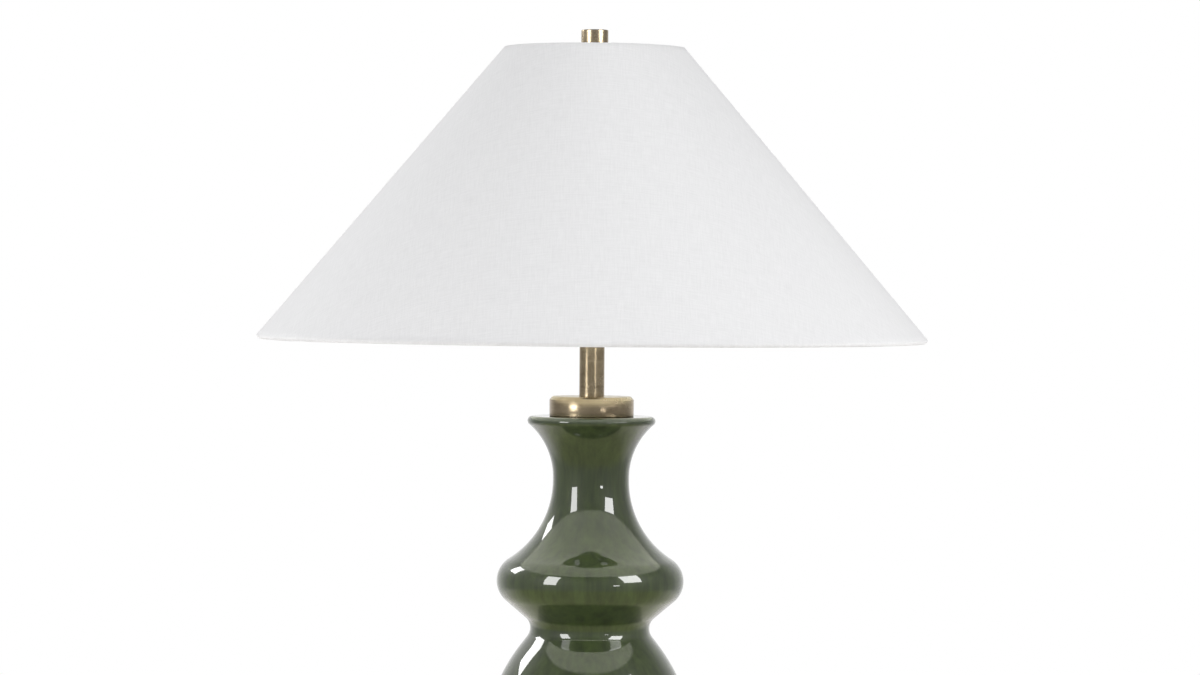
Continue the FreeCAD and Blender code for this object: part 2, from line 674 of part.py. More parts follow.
cover = turned(
    *roll(low_ring_r, low_ring_z, roll_outer_r, -HEM_WRAP),
    *roll(low_ring_r, low_ring_z, roll_inner_r, -HEM_WRAP)[::-1],
    *roll(top_ring_r, top_ring_z, roll_inner_r, HEM_WRAP),
    *roll(top_ring_r, top_ring_z, roll_outer_r, HEM_WRAP)[::-1],
)


def ring_wire(ring_r, ring_z):
    angles = [360 * k / RING_WIRE_SIDES for k in range(RING_WIRE_SIDES)]
    return turned(*[on_circle(ring_r, ring_z, RING_WIRE_R, angle) for angle in angles])


save("shade_bottom_ring", ring_wire(low_ring_r, low_ring_z))
save("shade_top_ring", ring_wire(top_ring_r, top_ring_z))

# ---- spider: washer on the stud, and arms welded to the top ring ----
arm_z = spider_z + SPIDER_THICK / 2
save("spider_washer", tube(SPIDER_R, STUD_R + SPIDER_HOLE_GAP, spider_z, SPIDER_THICK))
slope_run = (top_ring_z - arm_z) / math.sin(math.radians(ARM_RISE_ANGLE))
slope_reach = slope_run * math.cos(math.radians(ARM_RISE_ANGLE))
arm_end_r = top_ring_r - RING_WIRE_R - WELD_GAP
outer_run = arm_end_r - SPIDER_R - ARM_INNER_RUN - slope_reach
arm_moves = [(ARM_INNER_RUN,), (0, ARM_RISE_ANGLE), (slope_run,), (0, -ARM_RISE_ANGLE), (outer_run,)]
arm = drawn_wire(wire_path(at(SPIDER_R, arm_z), 0, arm_moves), ARM_WIRE_R)
arm = arm.cut(disc(SPIDER_R + WELD_GAP, spider_z, SPIDER_THICK))
notch_start = at(top_ring_r - roll_outer_r - WELD_GAP, top_ring_z)
notch = Part.makeCylinder(ARM_WIRE_R + SEAT_GAP, roll_outer_r, notch_start, Vector(1, 0, 0))
arms = []
for k in range(ARM_COUNT):
    angle = ARM_FIRST + 360.0 * k / ARM_COUNT
    arms.append(arm.rotated(ORIGIN, UP, angle))
    cover = cover.cut(notch.rotated(ORIGIN, UP, angle))
save("spider_arms", Part.makeCompound(arms))
save("shade_cover", cover)

# ---- finial and its threaded insert ----
finial_z = spider_z + SPIDER_THICK + FINIAL_GAP
finial_top = finial_z + FINIAL_HEIGHT
body_low = finial_z + FINIAL_NECK_HEIGHT
insert_hole_r = INSERT_R + THREAD_GAP
finial = turned(
    (insert_hole_r, finial_z),
    (FINIAL_NECK_R, finial_z),
    (FINIAL_NECK_R, body_low),
    (FINIAL_R, body_low),
    (FINIAL_R, finial_top - FINIAL_EDGE),
    (FINIAL_R - FINIAL_EDGE, finial_top),
    (0, finial_top),
    (0, finial_z + STUD_LENGTH),
    (insert_hole_r, finial_z + STUD_LENGTH),
)
save("finial_barrel", finial)
save("finial_insert", tube(INSERT_R, STUD_R + THREAD_GAP, finial_z, INSERT_LENGTH))

heights = {"belly": belly_z, "waist": waist_z, "bulge": bulge_z, "neck": neck_z, "mouth": mouth_z}
heights.update({"tube": tube_z, "saddle": saddle_z, "spindle": spindle_z, "harp top": harp_top_z})
heights.update({"low ring": low_ring_z, "top ring": top_ring_z})
print("  ".join("%s %.2f" % pair for pair in heights.items()))
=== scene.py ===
import math

import bmesh
import bpy
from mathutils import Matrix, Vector


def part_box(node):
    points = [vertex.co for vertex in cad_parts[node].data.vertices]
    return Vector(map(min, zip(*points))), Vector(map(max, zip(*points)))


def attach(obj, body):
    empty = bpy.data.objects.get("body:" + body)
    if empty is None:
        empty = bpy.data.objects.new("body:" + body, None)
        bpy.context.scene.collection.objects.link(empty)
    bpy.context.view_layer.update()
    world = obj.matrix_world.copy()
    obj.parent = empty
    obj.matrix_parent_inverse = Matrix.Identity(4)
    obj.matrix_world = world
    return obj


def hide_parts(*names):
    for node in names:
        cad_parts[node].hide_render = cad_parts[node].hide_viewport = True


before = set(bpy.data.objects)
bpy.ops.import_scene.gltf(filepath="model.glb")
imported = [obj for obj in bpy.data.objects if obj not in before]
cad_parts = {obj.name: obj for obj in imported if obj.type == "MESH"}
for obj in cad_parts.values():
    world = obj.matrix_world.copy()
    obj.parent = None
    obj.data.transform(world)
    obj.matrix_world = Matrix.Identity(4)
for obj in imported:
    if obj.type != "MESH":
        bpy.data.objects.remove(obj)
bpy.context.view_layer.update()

# ---- camera ----
# A long lens three metres off, a little above the shade's lower edge. It is rolled by half a degree, so
# that the lamp leans to the right by as much as it does in the photograph.
SCALE = 1319.0            # pixels of the 1200 x 675 frame to a metre at the lamp's axis
EYE_HEIGHT = 0.530
CAMERA_DISTANCE = 3.0
AXIS_PIXEL = 592.8        # where the lamp's axis crosses the middle row of the frame
EYE_ROW = 270.4           # row of the frame that is level with the eye
LEAN = 0.50               # degrees
FRAME_WIDTH = 1200        # pixels
FRAME_HEIGHT = 675
SENSOR_WIDTH = 36
bpy.ops.object.select_all(action="DESELECT")
bpy.ops.object.camera_add(location=(0, -CAMERA_DISTANCE, EYE_HEIGHT))
camera = bpy.context.object
focal = SCALE * CAMERA_DISTANCE
camera.data.sensor_width = SENSOR_WIDTH
camera.data.lens = SENSOR_WIDTH * focal / FRAME_WIDTH
tilt = math.atan((FRAME_HEIGHT / 2 - EYE_ROW) / focal)
pan = math.atan((FRAME_WIDTH / 2 - AXIS_PIXEL) / focal)
camera.rotation_euler = (math.pi / 2 - tilt, -math.radians(LEAN), -pan)
bpy.context.scene.camera = camera
bpy.context.scene.view_settings.view_transform = "Standard"


# ---- world, floor and studio lights ----
# A white sweep behind the lamp, a darker room behind the camera, two softboxes in front, a third behind
# at the left and one small lamp. Their images on the glaze and the brass are where the photograph has them.
def linear(code):
    """An sRGB hex colour as the linear one that the shaders take."""
    parts = [int(code[i:i + 2], 16) / 255 for i in (1, 3, 5)]
    return tuple(c / 12.92 if c <= 0.04045 else ((c + 0.055) / 1.055) ** 2.4 for c in parts) + (1.0,)


def node(tree, kind, sets=None, links=None):
    """Add a node, set its sockets or properties, and link its inputs."""
    made = tree.nodes.new("ShaderNode" + kind)
    for key, value in (sets or {}).items():
        if isinstance(key, int) or key in made.inputs:
            made.inputs[key].default_value = value
        else:
            setattr(made, key, value)
    for key, source in (links or {}).items():
        tree.links.new(source, made.inputs[key])
    return made


MATT_FRONT = 0.10         # what the room behind the camera gives a matt surface
MATT_BACK = 0.55          # and what the white sweep gives it
MIRROR_FRONT = 0.38       # what a mirror shows of the room behind the camera
MIRROR_ABOVE = 0.25       # and of the dark ceiling
world = bpy.data.worlds.new("white_sweep")
bpy.context.scene.world = world
world.use_nodes = True
tree = world.node_tree
tree.nodes.clear()
ray = node(tree, "LightPath")
direction = node(tree, "TexCoord")
parts = node(tree, "SeparateXYZ", links={0: direction.outputs["Generated"]})
behind = node(tree, "MapRange", {"From Min": 0.5, "From Max": 1.0, "To Min": MIRROR_FRONT, "To Max": 1.0},
              {"Value": parts.outputs["Y"]})
above = node(tree, "MapRange", {"From Min": 0.35, "From Max": 0.8, "To Min": 1.0, "To Max": MIRROR_ABOVE},
             {"Value": parts.outputs["Z"]})
shown = node(tree, "Math", {"operation": "MULTIPLY"}, {0: behind.outputs[0], 1: above.outputs[0]})
mirrored = node(tree, "Background", {"Color": (1, 1, 1, 1)}, {"Strength": shown.outputs[0]})
spread = node(tree, "MapRange", {"From Min": -1.0, "To Min": MATT_FRONT, "To Max": MATT_BACK},
              {"Value": parts.outputs["Y"]})
matt = node(tree, "Background", {"Color": (1, 1, 1, 1)}, {"Strength": spread.outputs[0]})
white = node(tree, "Background", {"Color": (1, 1, 1, 1), "Strength": 1.0})
shiny = node(tree, "Math", {"operation": "MAXIMUM"},
             {0: ray.outputs["Is Glossy Ray"], 1: ray.outputs["Is Transmission Ray"]})
first = node(tree, "MixShader", links={0: shiny.outputs[0], 1: matt.outputs[0], 2: mirrored.outputs[0]})
second = node(tree, "MixShader",
              links={0: ray.outputs["Is Camera Ray"], 1: first.outputs[0], 2: white.outputs[0]})
node(tree, "OutputWorld", links={0: second.outputs[0]})

FLOOR_HALF = 1.4
FLOOR_GAP = 0.0005        # keeps the floor clear of the felt's underside
UNDER_FOOT = 0.066        # the floor is open within this radius, so that light reaches the felt from below
SEEN_LIFT = 0.24          # keeps the floor white to the camera
BOUNCE_LIFT = 0.35        # and what it adds to the light that falls on the lamp from below
MIRROR_LIFT = 0.85        # a mirror shows the floor in front of the lamp dimmer and warmer than it is
bpy.ops.mesh.primitive_plane_add(size=2 * FLOOR_HALF, location=(0, 0, -FLOOR_GAP))
floor = bpy.context.object
floor.name = "floor"
sweep = bpy.data.materials.new("white_floor")
sweep.use_nodes = True
tree = sweep.node_tree
tree.nodes.clear()
place = node(tree, "TexCoord")
from_lamp = node(tree, "VectorMath", {"operation": "LENGTH"}, {0: place.outputs["Object"]})
fade = node(tree, "MapRange", {"From Min": 0.45 * FLOOR_HALF, "From Max": 0.98 * FLOOR_HALF},
            {"Value": from_lamp.outputs["Value"]})
fade.interpolation_type = "SMOOTHSTEP"
ray = node(tree, "LightPath")
paint = node(tree, "BsdfDiffuse", {"Color": linear("#f4f4f4")})
lift = node(tree, "Emission", {"Color": (1, 1, 1, 1), "Strength": SEEN_LIFT})
seen = node(tree, "AddShader", links={0: paint.outputs[0], 1: lift.outputs[0]})
warm = node(tree, "Emission", {"Color": linear("#fff5ea"), "Strength": BOUNCE_LIFT})
bounce = node(tree, "AddShader", links={0: paint.outputs[0], 1: warm.outputs[0]})
parts = node(tree, "SeparateXYZ", links={0: place.outputs["Object"]})
back = node(tree, "MapRange", {"From Min": 0.0, "From Max": 0.6}, {"Value": parts.outputs["Y"]})
dim = node(tree, "Emission", {"Color": linear("#c6cc98"), "Strength": MIRROR_LIFT})
mirrored = node(tree, "MixShader", links={0: back.outputs[0], 1: dim.outputs[0], 2: bounce.outputs[0]})
unseen = node(tree, "MixShader",
              links={0: ray.outputs["Is Glossy Ray"], 1: bounce.outputs[0], 2: mirrored.outputs[0]})
both = node(tree, "MixShader",
            links={0: ray.outputs["Is Camera Ray"], 1: unseen.outputs[0], 2: seen.outputs[0]})
clear = node(tree, "BsdfTransparent")
below = node(tree, "NewGeometry")
under = node(tree, "Math", {"operation": "LESS_THAN", 1: UNDER_FOOT}, {0: from_lamp.outputs["Value"]})
open_part = node(tree, "Math", {"operation": "MAXIMUM"},
                 {0: under.outputs[0], 1: below.outputs["Backfacing"]})
gone = node(tree, "Math", {"operation": "MAXIMUM"}, {0: fade.outputs[0], 1: open_part.outputs[0]})
faded = node(tree, "MixShader", links={0: gone.outputs[0], 1: both.outputs[0], 2: clear.outputs[0]})
node(tree, "OutputMaterial", links={0: faded.outputs[0]})
floor.data.materials.append(sweep)


NECK_HEIGHT = 0.36


def softbox(name, around, above, width, height, glow, distance=2.0):
    """A rectangular lamp facing the neck. In degrees above, and around from the camera, right positive."""
    turn, lift = math.radians(around), math.radians(above)
    away = Vector((math.sin(turn) * math.cos(lift), -math.cos(turn) * math.cos(lift), math.sin(lift)))
    middle = Vector((0, 0, NECK_HEIGHT))
    bpy.ops.object.light_add(type="AREA", location=middle + away * distance)
    light = bpy.context.object
    light.name = name
    light.rotation_euler = away.to_track_quat("Z", "Y").to_euler()
    light.data.shape = "RECTANGLE"
    light.data.size = width
    light.data.size_y = height
    light.data.energy = glow * width * height * math.pi
    return light


softbox("softbox_right", 55, 27, 0.85, 0.95, 10.5)
softbox("softbox_left", -50, 19, 0.60, 1.15, 9.5)
softbox("softbox_back_left", -122, 29, 0.55, 0.65, 10)
softbox("small_lamp", 32, 3, 0.26, 0.10, 12)


# ---- foot: felt, brass shell, iron weight and nut ----
# Spun brass sheet over a cast-iron disc, clamped to the ceramic by the pipe and a nut, with felt glued
# underneath. The brass is browned, then turned bright again with fine abrasive, which leaves rings.
def new_material(name):
    """A material with only a Principled shader, and that shader."""
    made = bpy.data.materials.new(name)
    made.use_nodes = True
    shader = made.node_tree.nodes["Principled BSDF"]
    return made, made.node_tree, shader


def dress(piece, material):
    """Give the whole of a piece one material."""
    piece.data.materials.clear()
    piece.data.materials.append(material)


def start_outline(name, x, z):
    """One vertex in the plane of a turned outline, left in edit mode for run_to and bend."""
    bpy.ops.object.select_all(action="DESELECT")
    bpy.ops.mesh.primitive_plane_add(size=0.001)
    piece = bpy.context.object
    piece.name = piece.data.name = name
    bpy.ops.object.mode_set(mode="EDIT")
    bpy.ops.mesh.merge(type="CENTER")
    bpy.ops.transform.translate(value=(x, 0, z))
    return piece


def middle_of_selection():
    """The middle of what is selected in edit mode."""
    shape = bmesh.from_edit_mesh(bpy.context.object.data)
    points = [v.co for v in shape.verts if v.select]
    return sum(points, Vector()) / len(points)


def run_to(x, z):
    """Extrude the end of the outline or wire straight to a place in its plane."""
    end = middle_of_selection()
    bpy.ops.mesh.extrude_vertices_move(TRANSFORM_OT_translate={"value": (x - end.x, 0, z - end.z)})


def bend(x, z, angle, steps):
    """Spin the end of the outline about a centre in its plane. A positive angle turns +X towards +Z."""
    bpy.ops.mesh.spin(steps=steps, angle=math.radians(angle), center=(x, 0, z), axis=(0, 1, 0))


MERGE = 1e-5              # points that lie closer than this become one


def finish_mesh(sharp=35):
    """Merge doubles, face all outwards, leave edit mode and smooth the edges blunter than an angle."""
    bpy.ops.mesh.select_all(action="SELECT")
    bpy.ops.mesh.remove_doubles(threshold=MERGE)
    bpy.ops.mesh.delete_loose(use_verts=True, use_edges=True, use_faces=False)
    bpy.ops.mesh.select_all(action="SELECT")
    bpy.ops.mesh.normals_make_consistent(inside=False)
    bpy.ops.object.mode_set(mode="OBJECT")
    bpy.ops.object.shade_smooth_by_angle(angle=math.radians(sharp))


def turn_outline(steps=128, sharp=35):
    """Spin the drawn outline once round the lamp's axis."""
    bpy.ops.mesh.select_all(action="SELECT")
    bpy.ops.mesh.remove_doubles(threshold=MERGE)
    bpy.ops.mesh.select_all(action="SELECT")
    bpy.ops.mesh.spin(steps=steps, angle=2 * math.pi, center=(0, 0, 0), axis=(0, 0, 1))
    finish_mesh(sharp)


# Antique brass: a real metal, so no diffuse. The brown patina mutes it, fine turning lines run round the
# axis about 0.25 mm apart, and thumbed, cloudy patches change how sharp the reflections are.
brass, tree, shader = new_material("antique_brass_turned")
place = node(tree, "TexCoord")
flat = node(tree, "VectorMath", {"operation": "MULTIPLY", 1: (1, 1, 0)}, {0: place.outputs["Object"]})
radius = node(tree, "VectorMath", {"operation": "LENGTH"}, {0: flat.outputs[0]})
height = node(tree, "SeparateXYZ", links={0: place.outputs["Object"]})
along = node(tree, "Math", {"operation": "ADD"}, {0: radius.outputs["Value"], 1: height.outputs["Z"]})
lines = node(tree, "TexNoise", {"noise_dimensions": "1D", "Scale": 2400.0, "Detail": 3.0, "Roughness": 0.7},
             {"W": along.outputs[0]})
bands = node(tree, "TexNoise", {"noise_dimensions": "1D", "Scale": 420.0, "Detail": 2.0},
             {"W": along.outputs[0]})
patches = node(tree, "TexNoise", {"Scale": 55.0, "Detail": 3.0, "Roughness": 0.6},
               {"Vector": place.outputs["Object"]})
mixed = node(tree, "Math", {"operation": "MULTIPLY_ADD", 1: 0.5},
             {0: bands.outputs["Fac"], 2: patches.outputs["Fac"]})
tone = node(tree, "ValToRGB", links={"Fac": mixed.outputs[0]})
tone.color_ramp.elements[0].position = 0.45
tone.color_ramp.elements[0].color = linear("#8f7f67")
tone.color_ramp.elements[1].position = 1.0
tone.color_ramp.elements[1].color = linear("#b5a68c")
tree.links.new(tone.outputs["Color"], shader.inputs["Base Color"])
rough = node(tree, "MapRange", {"From Min": 0.3, "From Max": 0.7, "To Min": 0.17, "To Max": 0.30},
             {"Value": patches.outputs["Fac"]})
tree.links.new(rough.outputs[0], shader.inputs["Roughness"])
grooves = node(tree, "Bump", {"Strength": 0.30, "Distance": 0.00006}, {"Height": lines.outputs["Fac"]})
tree.links.new(grooves.outputs[0], shader.inputs["Normal"])
shader.inputs["Metallic"].default_value = 1.0

foot_low, foot_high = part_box("brass_base")
foot_r = foot_high.x
foot_sheet = 0.0015
foot_round = 0.0020
foot_edge = 0.0005
hole_r = 0.0054
foot = start_outline("foot_shell", hole_r, foot_high.z - foot_sheet)
run_to(hole_r, foot_high.z)
run_to(foot_r - foot_round, foot_high.z)
bend(foot_r - foot_round, foot_high.z - foot_round, -90, 8)
run_to(foot_r, foot_low.z + foot_edge)
bend(foot_r - foot_edge, foot_low.z + foot_edge, -90, 3)
run_to(foot_r - foot_sheet, foot_low.z)
run_to(foot_r - foot_sheet, foot_high.z - foot_sheet - foot_round)
bend(foot_r - foot_sheet - foot_round, foot_high.z - foot_sheet - foot_round, 90, 6)
run_to(hole_r, foot_high.z - foot_sheet)
turn_outline(steps=160)
dress(foot, brass)
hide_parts("brass_base")
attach(foot, "lamp")

# Wool felt: a matt mat of fibres with a soft nap that catches light at its edge.
felt, tree, shader = new_material("wool_felt")
place = node(tree, "TexCoord")
fibres = node(tree, "TexNoise", {"Scale": 1400.0, "Detail": 4.0, "Roughness": 0.75},
              {"Vector": place.outputs["Object"]})
tone = node(tree, "ValToRGB", links={"Fac": fibres.outputs["Fac"]})
tone.color_ramp.elements[0].position = 0.3
tone.color_ramp.elements[0].color = linear("#20342a")
tone.color_ramp.elements[1].position = 0.7
tone.color_ramp.elements[1].color = linear("#35503f")
tree.links.new(tone.outputs["Color"], shader.inputs["Base Color"])
nap = node(tree, "Bump", {"Strength": 0.6, "Distance": 0.0003}, {"Height": fibres.outputs["Fac"]})
tree.links.new(nap.outputs[0], shader.inputs["Normal"])
shader.inputs["Roughness"].default_value = 0.95
shader.inputs["Sheen Weight"].default_value = 0.3
FELT_ROUND = 0.0006
felt_low, felt_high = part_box("felt_pad")
pad = start_outline("felt_disc", 0, felt_low.z)
run_to(felt_high.x - FELT_ROUND, felt_low.z)
bend(felt_high.x - FELT_ROUND, felt_low.z + FELT_ROUND, 90, 4)
run_to(felt_high.x, felt_high.z)
run_to(0, felt_high.z)
turn_outline(steps=128, sharp=50)
dress(pad, felt)
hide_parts("felt_pad")
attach(pad, "lamp")

# The iron is rough sand casting under black paint: a dull skin, a little lighter where it has rubbed.
iron, tree, shader = new_material("cast_iron_painted")
place = node(tree, "TexCoord")
sand = node(tree, "TexNoise", {"Scale": 900.0, "Detail": 5.0, "Roughness": 0.7},
            {"Vector": place.outputs["Object"]})
tone = node(tree, "ValToRGB", links={"Fac": sand.outputs["Fac"]})
tone.color_ramp.elements[0].color = linear("#191919")
tone.color_ramp.elements[1].color = linear("#3a3937")
tree.links.new(tone.outputs["Color"], shader.inputs["Base Color"])
skin = node(tree, "Bump", {"Strength": 0.5, "Distance": 0.0004}, {"Height": sand.outputs["Fac"]})
tree.links.new(skin.outputs[0], shader.inputs["Normal"])
shader.inputs["Roughness"].default_value = 0.62


def paint(name, material):
    """Give a CAD node one material."""
    for place_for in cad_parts[name].material_slots:
        place_for.material = material


def plated(name, dark, light, low, high, grain):
    """A metal plating with cloudy tone and a fine grain. The roughness goes from low to high."""
    made, tree, shader = new_material(name)
    place = node(tree, "TexCoord")
    clouds = node(tree, "TexNoise", {"Scale": 120.0, "Detail": 3.0}, {"Vector": place.outputs["Object"]})
    tone = node(tree, "ValToRGB", links={"Fac": clouds.outputs["Fac"]})
    tone.color_ramp.elements[0].position = 0.3
    tone.color_ramp.elements[0].color = linear(dark)
    tone.color_ramp.elements[1].position = 0.7
    tone.color_ramp.elements[1].color = linear(light)
    tree.links.new(tone.outputs["Color"], shader.inputs["Base Color"])
    rough = node(tree, "MapRange", {"From Min": 0.3, "From Max": 0.7, "To Min": low, "To Max": high},
                 {"Value": clouds.outputs["Fac"]})
    tree.links.new(rough.outputs[0], shader.inputs["Roughness"])
    fine = node(tree, "TexNoise", {"Scale": grain, "Detail": 2.0}, {"Vector": place.outputs["Object"]})
    bump = node(tree, "Bump", {"Strength": 0.12, "Distance": 0.0001}, {"Height": fine.outputs["Fac"]})
    tree.links.new(bump.outputs[0], shader.inputs["Normal"])
    shader.inputs["Metallic"].default_value = 1.0
    return made


# Zinc on turned or pressed steel: bluish, a little milky.
zinc = plated("zinc_plated_steel", "#a9acae", "#c6c8c8", 0.28, 0.42, 2500.0)
paint("base_weight", iron)
paint("base_washer", zinc)
paint("base_nut", zinc)


def moulded(name, colour, shine, texture):
    """A moulded plastic or rubber with the fine matt texture of its tool."""
    made, tree, shader = new_material(name)
    place = node(tree, "TexCoord")
    spark = node(tree, "TexNoise", {"Scale": 3000.0, "Detail": 2.0}, {"Vector": place.outputs["Object"]})
    tone = node(tree, "ValToRGB", links={"Fac": spark.outputs["Fac"]})
    dark = linear(colour)
    tone.color_ramp.elements[0].color = (0.85 * dark[0], 0.85 * dark[1], 0.85 * dark[2], 1)
    tone.color_ramp.elements[1].color = (1.15 * dark[0], 1.15 * dark[1], 1.15 * dark[2], 1)
    tree.links.new(tone.outputs["Color"], shader.inputs["Base Color"])
    bump = node(tree, "Bump", {"Strength": texture, "Distance": 0.0001}, {"Height": spark.outputs["Fac"]})
    tree.links.new(bump.outputs[0], shader.inputs["Normal"])
    shader.inputs["Roughness"].default_value = shine
    return made


black_plastic = moulded("moulded_black_plastic", "#1b1b1c", 0.38, 0.25)
paint("cord_bushing", black_plastic)


# ---- ceramic body ----
# Slip-cast earthenware in one piece, outlined by circles that touch: stem, belly, waist, bulge, neck and
# lip. It is dipped in a clear green glaze, and only the foot ring that it was fired on is bare.
WALL = 0.006
FLOOR = 0.007
FLOOR_LIFT = 0.004
RING_WIDTH = 0.008
RING_ROUND = 0.0015
STEM_HEIGHT = 0.0135
MOUTH_ROUND = 0.0012
SWELL, WAIST = 1, -1
TURNS = [                              # which way, radius, radius of the curve, run up to the next
    (WAIST, 0.0640, 0.0960, 0.0300),   # stem
    (SWELL, 0.0804, 0.4000, 0.0000),   # belly, its lower side
    (SWELL, 0.0804, 0.1350, 0.0073),   # belly, its upper side
    (WAIST, 0.0453, 0.0105, 0.0198),   # waist
    (SWELL, 0.0710, 0.0197, 0.0000),   # bulge
    (WAIST, 0.0289, 0.0710, 0.0020),   # neck, its lower side
    (WAIST, 0.0289, 0.0530, 0.0000),   # neck, its upper side
    (SWELL, 0.0486, 0.0036, 0.0000),   # lip
]


def centre_of(turn):
    """Radius at which a turn's circle has its centre."""
    way, radius, curve = turn[:3]
    return radius - way * curve


def rise_and_angle(low, high):
    """How far a turn lies above the one below, and the angle at which the outline passes between them."""
    if low[0] == high[0]:
        return low[3], 0.0
    swell, waist = (low, high) if low[0] == SWELL else (high, low)
    across = centre_of(waist) - centre_of(swell)
    reach = swell[2] + waist[2]
    rise = math.sqrt(reach ** 2 + low[3] ** 2 - across ** 2)
    up = rise if low is swell else -rise
    lean = math.copysign(math.acos(min(1.0, reach / math.hypot(across, up))), up)
    return rise, math.degrees(math.atan2(up, across) - lean)


def on_turn(turn, height, angle, inwards=0.0):
    """A place on a turn's circle, or on the same turn of a wall's inner side."""
    reach = turn[0] * turn[2] - inwards
    out = centre_of(turn) + reach * math.cos(math.radians(angle))
    return out, height + reach * math.sin(math.radians(angle))


body_low, body_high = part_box("ceramic_body")
heights = [body_low.z + STEM_HEIGHT]
leaving = [0.0]
for low, high in zip(TURNS, TURNS[1:]):
    rise, angle = rise_and_angle(low, high)
    heights.append(heights[-1] + rise)
    leaving.append(angle)
leaving.append(90.0)
NECK_LOW = 5              # places in the list of turns
LIP = 7
LENGTH_STEP = 0.0022      # facets no longer than this along the outline, nor turned by more than the next
ANGLE_STEP = 4.0


def steps_for(curve, angle):
    """How many facets an arc of so many degrees needs."""
    return max(1, math.ceil(max(abs(angle) / ANGLE_STEP, curve * math.radians(abs(angle)) / LENGTH_STEP)))


body = start_outline("ceramic_body_glazed", TURNS[0][1] - RING_ROUND, body_low.z)
bend(TURNS[0][1] - RING_ROUND, body_low.z + RING_ROUND, 90, 4)
for turn, height, enter, leave in zip(TURNS, heights, leaving, leaving[1:]):
    run_to(*on_turn(turn, height, enter))
    if leave != enter:
        bend(centre_of(turn), height, leave - enter, steps_for(turn[2], leave - enter))
mouth_r = TURNS[NECK_LOW][1] - WALL
run_to(mouth_r + MOUTH_ROUND, body_high.z)
bend(mouth_r + MOUTH_ROUND, body_high.z - MOUTH_ROUND, 90, 4)
for turn, height, enter, leave in reversed(list(zip(TURNS[:NECK_LOW + 1], heights, leaving, leaving[1:]))):
    run_to(*on_turn(turn, height, leave, WALL))
    if leave != enter:
        bend(centre_of(turn), height, enter - leave, steps_for(turn[2], leave - enter))
floor_z = body_low.z + FLOOR_LIFT
run_to(TURNS[0][1] - WALL, floor_z + FLOOR)
run_to(hole_r, floor_z + FLOOR)
run_to(hole_r, floor_z)
run_to(TURNS[0][1] - RING_WIDTH, floor_z)
run_to(TURNS[0][1] - RING_WIDTH, body_low.z)
run_to(TURNS[0][1] - RING_ROUND, body_low.z)
turn_outline(steps=160, sharp=50)

# The glaze is glass over clay: a mirror-sharp coat, and under it a green that is deeper where it has run
# and pooled, streaked by its run in the kiln, and paler where it thinned over the lip.
glaze, tree, shader = new_material("green_glaze_fired")
place = node(tree, "TexCoord")
stretch = node(tree, "Mapping", {"Scale": (150.0, 150.0, 13.0)}, {"Vector": place.outputs["Object"]})
streaks = node(tree, "TexNoise", {"Scale": 1.0, "Detail": 4.0, "Roughness": 0.6},
               {"Vector": stretch.outputs[0]})
pools = node(tree, "TexNoise", {"Scale": 22.0, "Detail": 2.0}, {"Vector": place.outputs["Object"]})
mixed = node(tree, "Math", {"operation": "MULTIPLY_ADD", 1: 0.45},
             {0: pools.outputs["Fac"], 2: streaks.outputs["Fac"]})
tone = node(tree, "ValToRGB", links={"Fac": mixed.outputs[0]})
tone.color_ramp.elements[0].position = 0.52
tone.color_ramp.elements[0].color = linear("#28321a")
tone.color_ramp.elements[1].position = 0.92
tone.color_ramp.elements[1].color = linear("#3a4624")
up = node(tree, "SeparateXYZ", links={0: place.outputs["Object"]})
lip_tint = {"From Min": heights[LIP] - 0.002, "From Max": body_high.z - 0.0015, "To Max": 0.75}
thin_lip = node(tree, "MapRange", lip_tint, {"Value": up.outputs["Z"]})
edge = node(tree, "Mix", {"data_type": "RGBA", "B": linear("#46523a")})
tree.links.new(thin_lip.outputs[0], edge.inputs["Factor"])
tree.links.new(tone.outputs["Color"], edge.inputs["A"])
tree.links.new(edge.outputs["Result"], shader.inputs["Base Color"])
wave = node(tree, "TexNoise", {"Scale": 60.0, "Detail": 1.0}, {"Vector": place.outputs["Object"]})
bump = node(tree, "Bump", {"Strength": 0.04, "Distance": 0.0006}, {"Height": wave.outputs["Fac"]})
tree.links.new(bump.outputs[0], shader.inputs["Coat Normal"])
shader.inputs["Roughness"].default_value = 0.45
shader.inputs["Specular IOR Level"].default_value = 0.2
shader.inputs["Coat Weight"].default_value = 1.0
shader.inputs["Coat Roughness"].default_value = 0.02
shader.inputs["Coat IOR"].default_value = 1.65

# Bare clay: warm off-white, dry, with the fine tooth of fired earthenware.
clay, tree, shader = new_material("bare_earthenware")
place = node(tree, "TexCoord")
grog = node(tree, "TexNoise", {"Scale": 700.0, "Detail": 4.0}, {"Vector": place.outputs["Object"]})
tone = node(tree, "ValToRGB", links={"Fac": grog.outputs["Fac"]})
tone.color_ramp.elements[0].color = linear("#c6b9a4")
tone.color_ramp.elements[1].color = linear("#e2d8c6")
tree.links.new(tone.outputs["Color"], shader.inputs["Base Color"])
tooth = node(tree, "Bump", {"Strength": 0.4, "Distance": 0.0002}, {"Height": grog.outputs["Fac"]})
tree.links.new(tooth.outputs[0], shader.inputs["Normal"])
shader.inputs["Roughness"].default_value = 0.9
dress(body, glaze)
body.data.materials.append(clay)
for face in body.data.polygons:
    if face.center.z < body_low.z + 0.0008 or (face.center.z < floor_z + 0.0005 and face.normal.z < -0.5):
        face.material_index = 1
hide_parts("ceramic_body")
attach(body, "lamp")


# ---- vase cap, neck tube and check ring ----
# The cap is spun and turned brass, the neck a piece of 3/4 inch brass tube, the ring a turned washer.
# All are threaded over the pipe and pulled down on the rubber plug in the ceramic's mouth.
rubber = moulded("moulded_rubber", "#232322", 0.7, 0.4)
paint("mouth_plug", rubber)
paint("lamp_pipe", zinc)

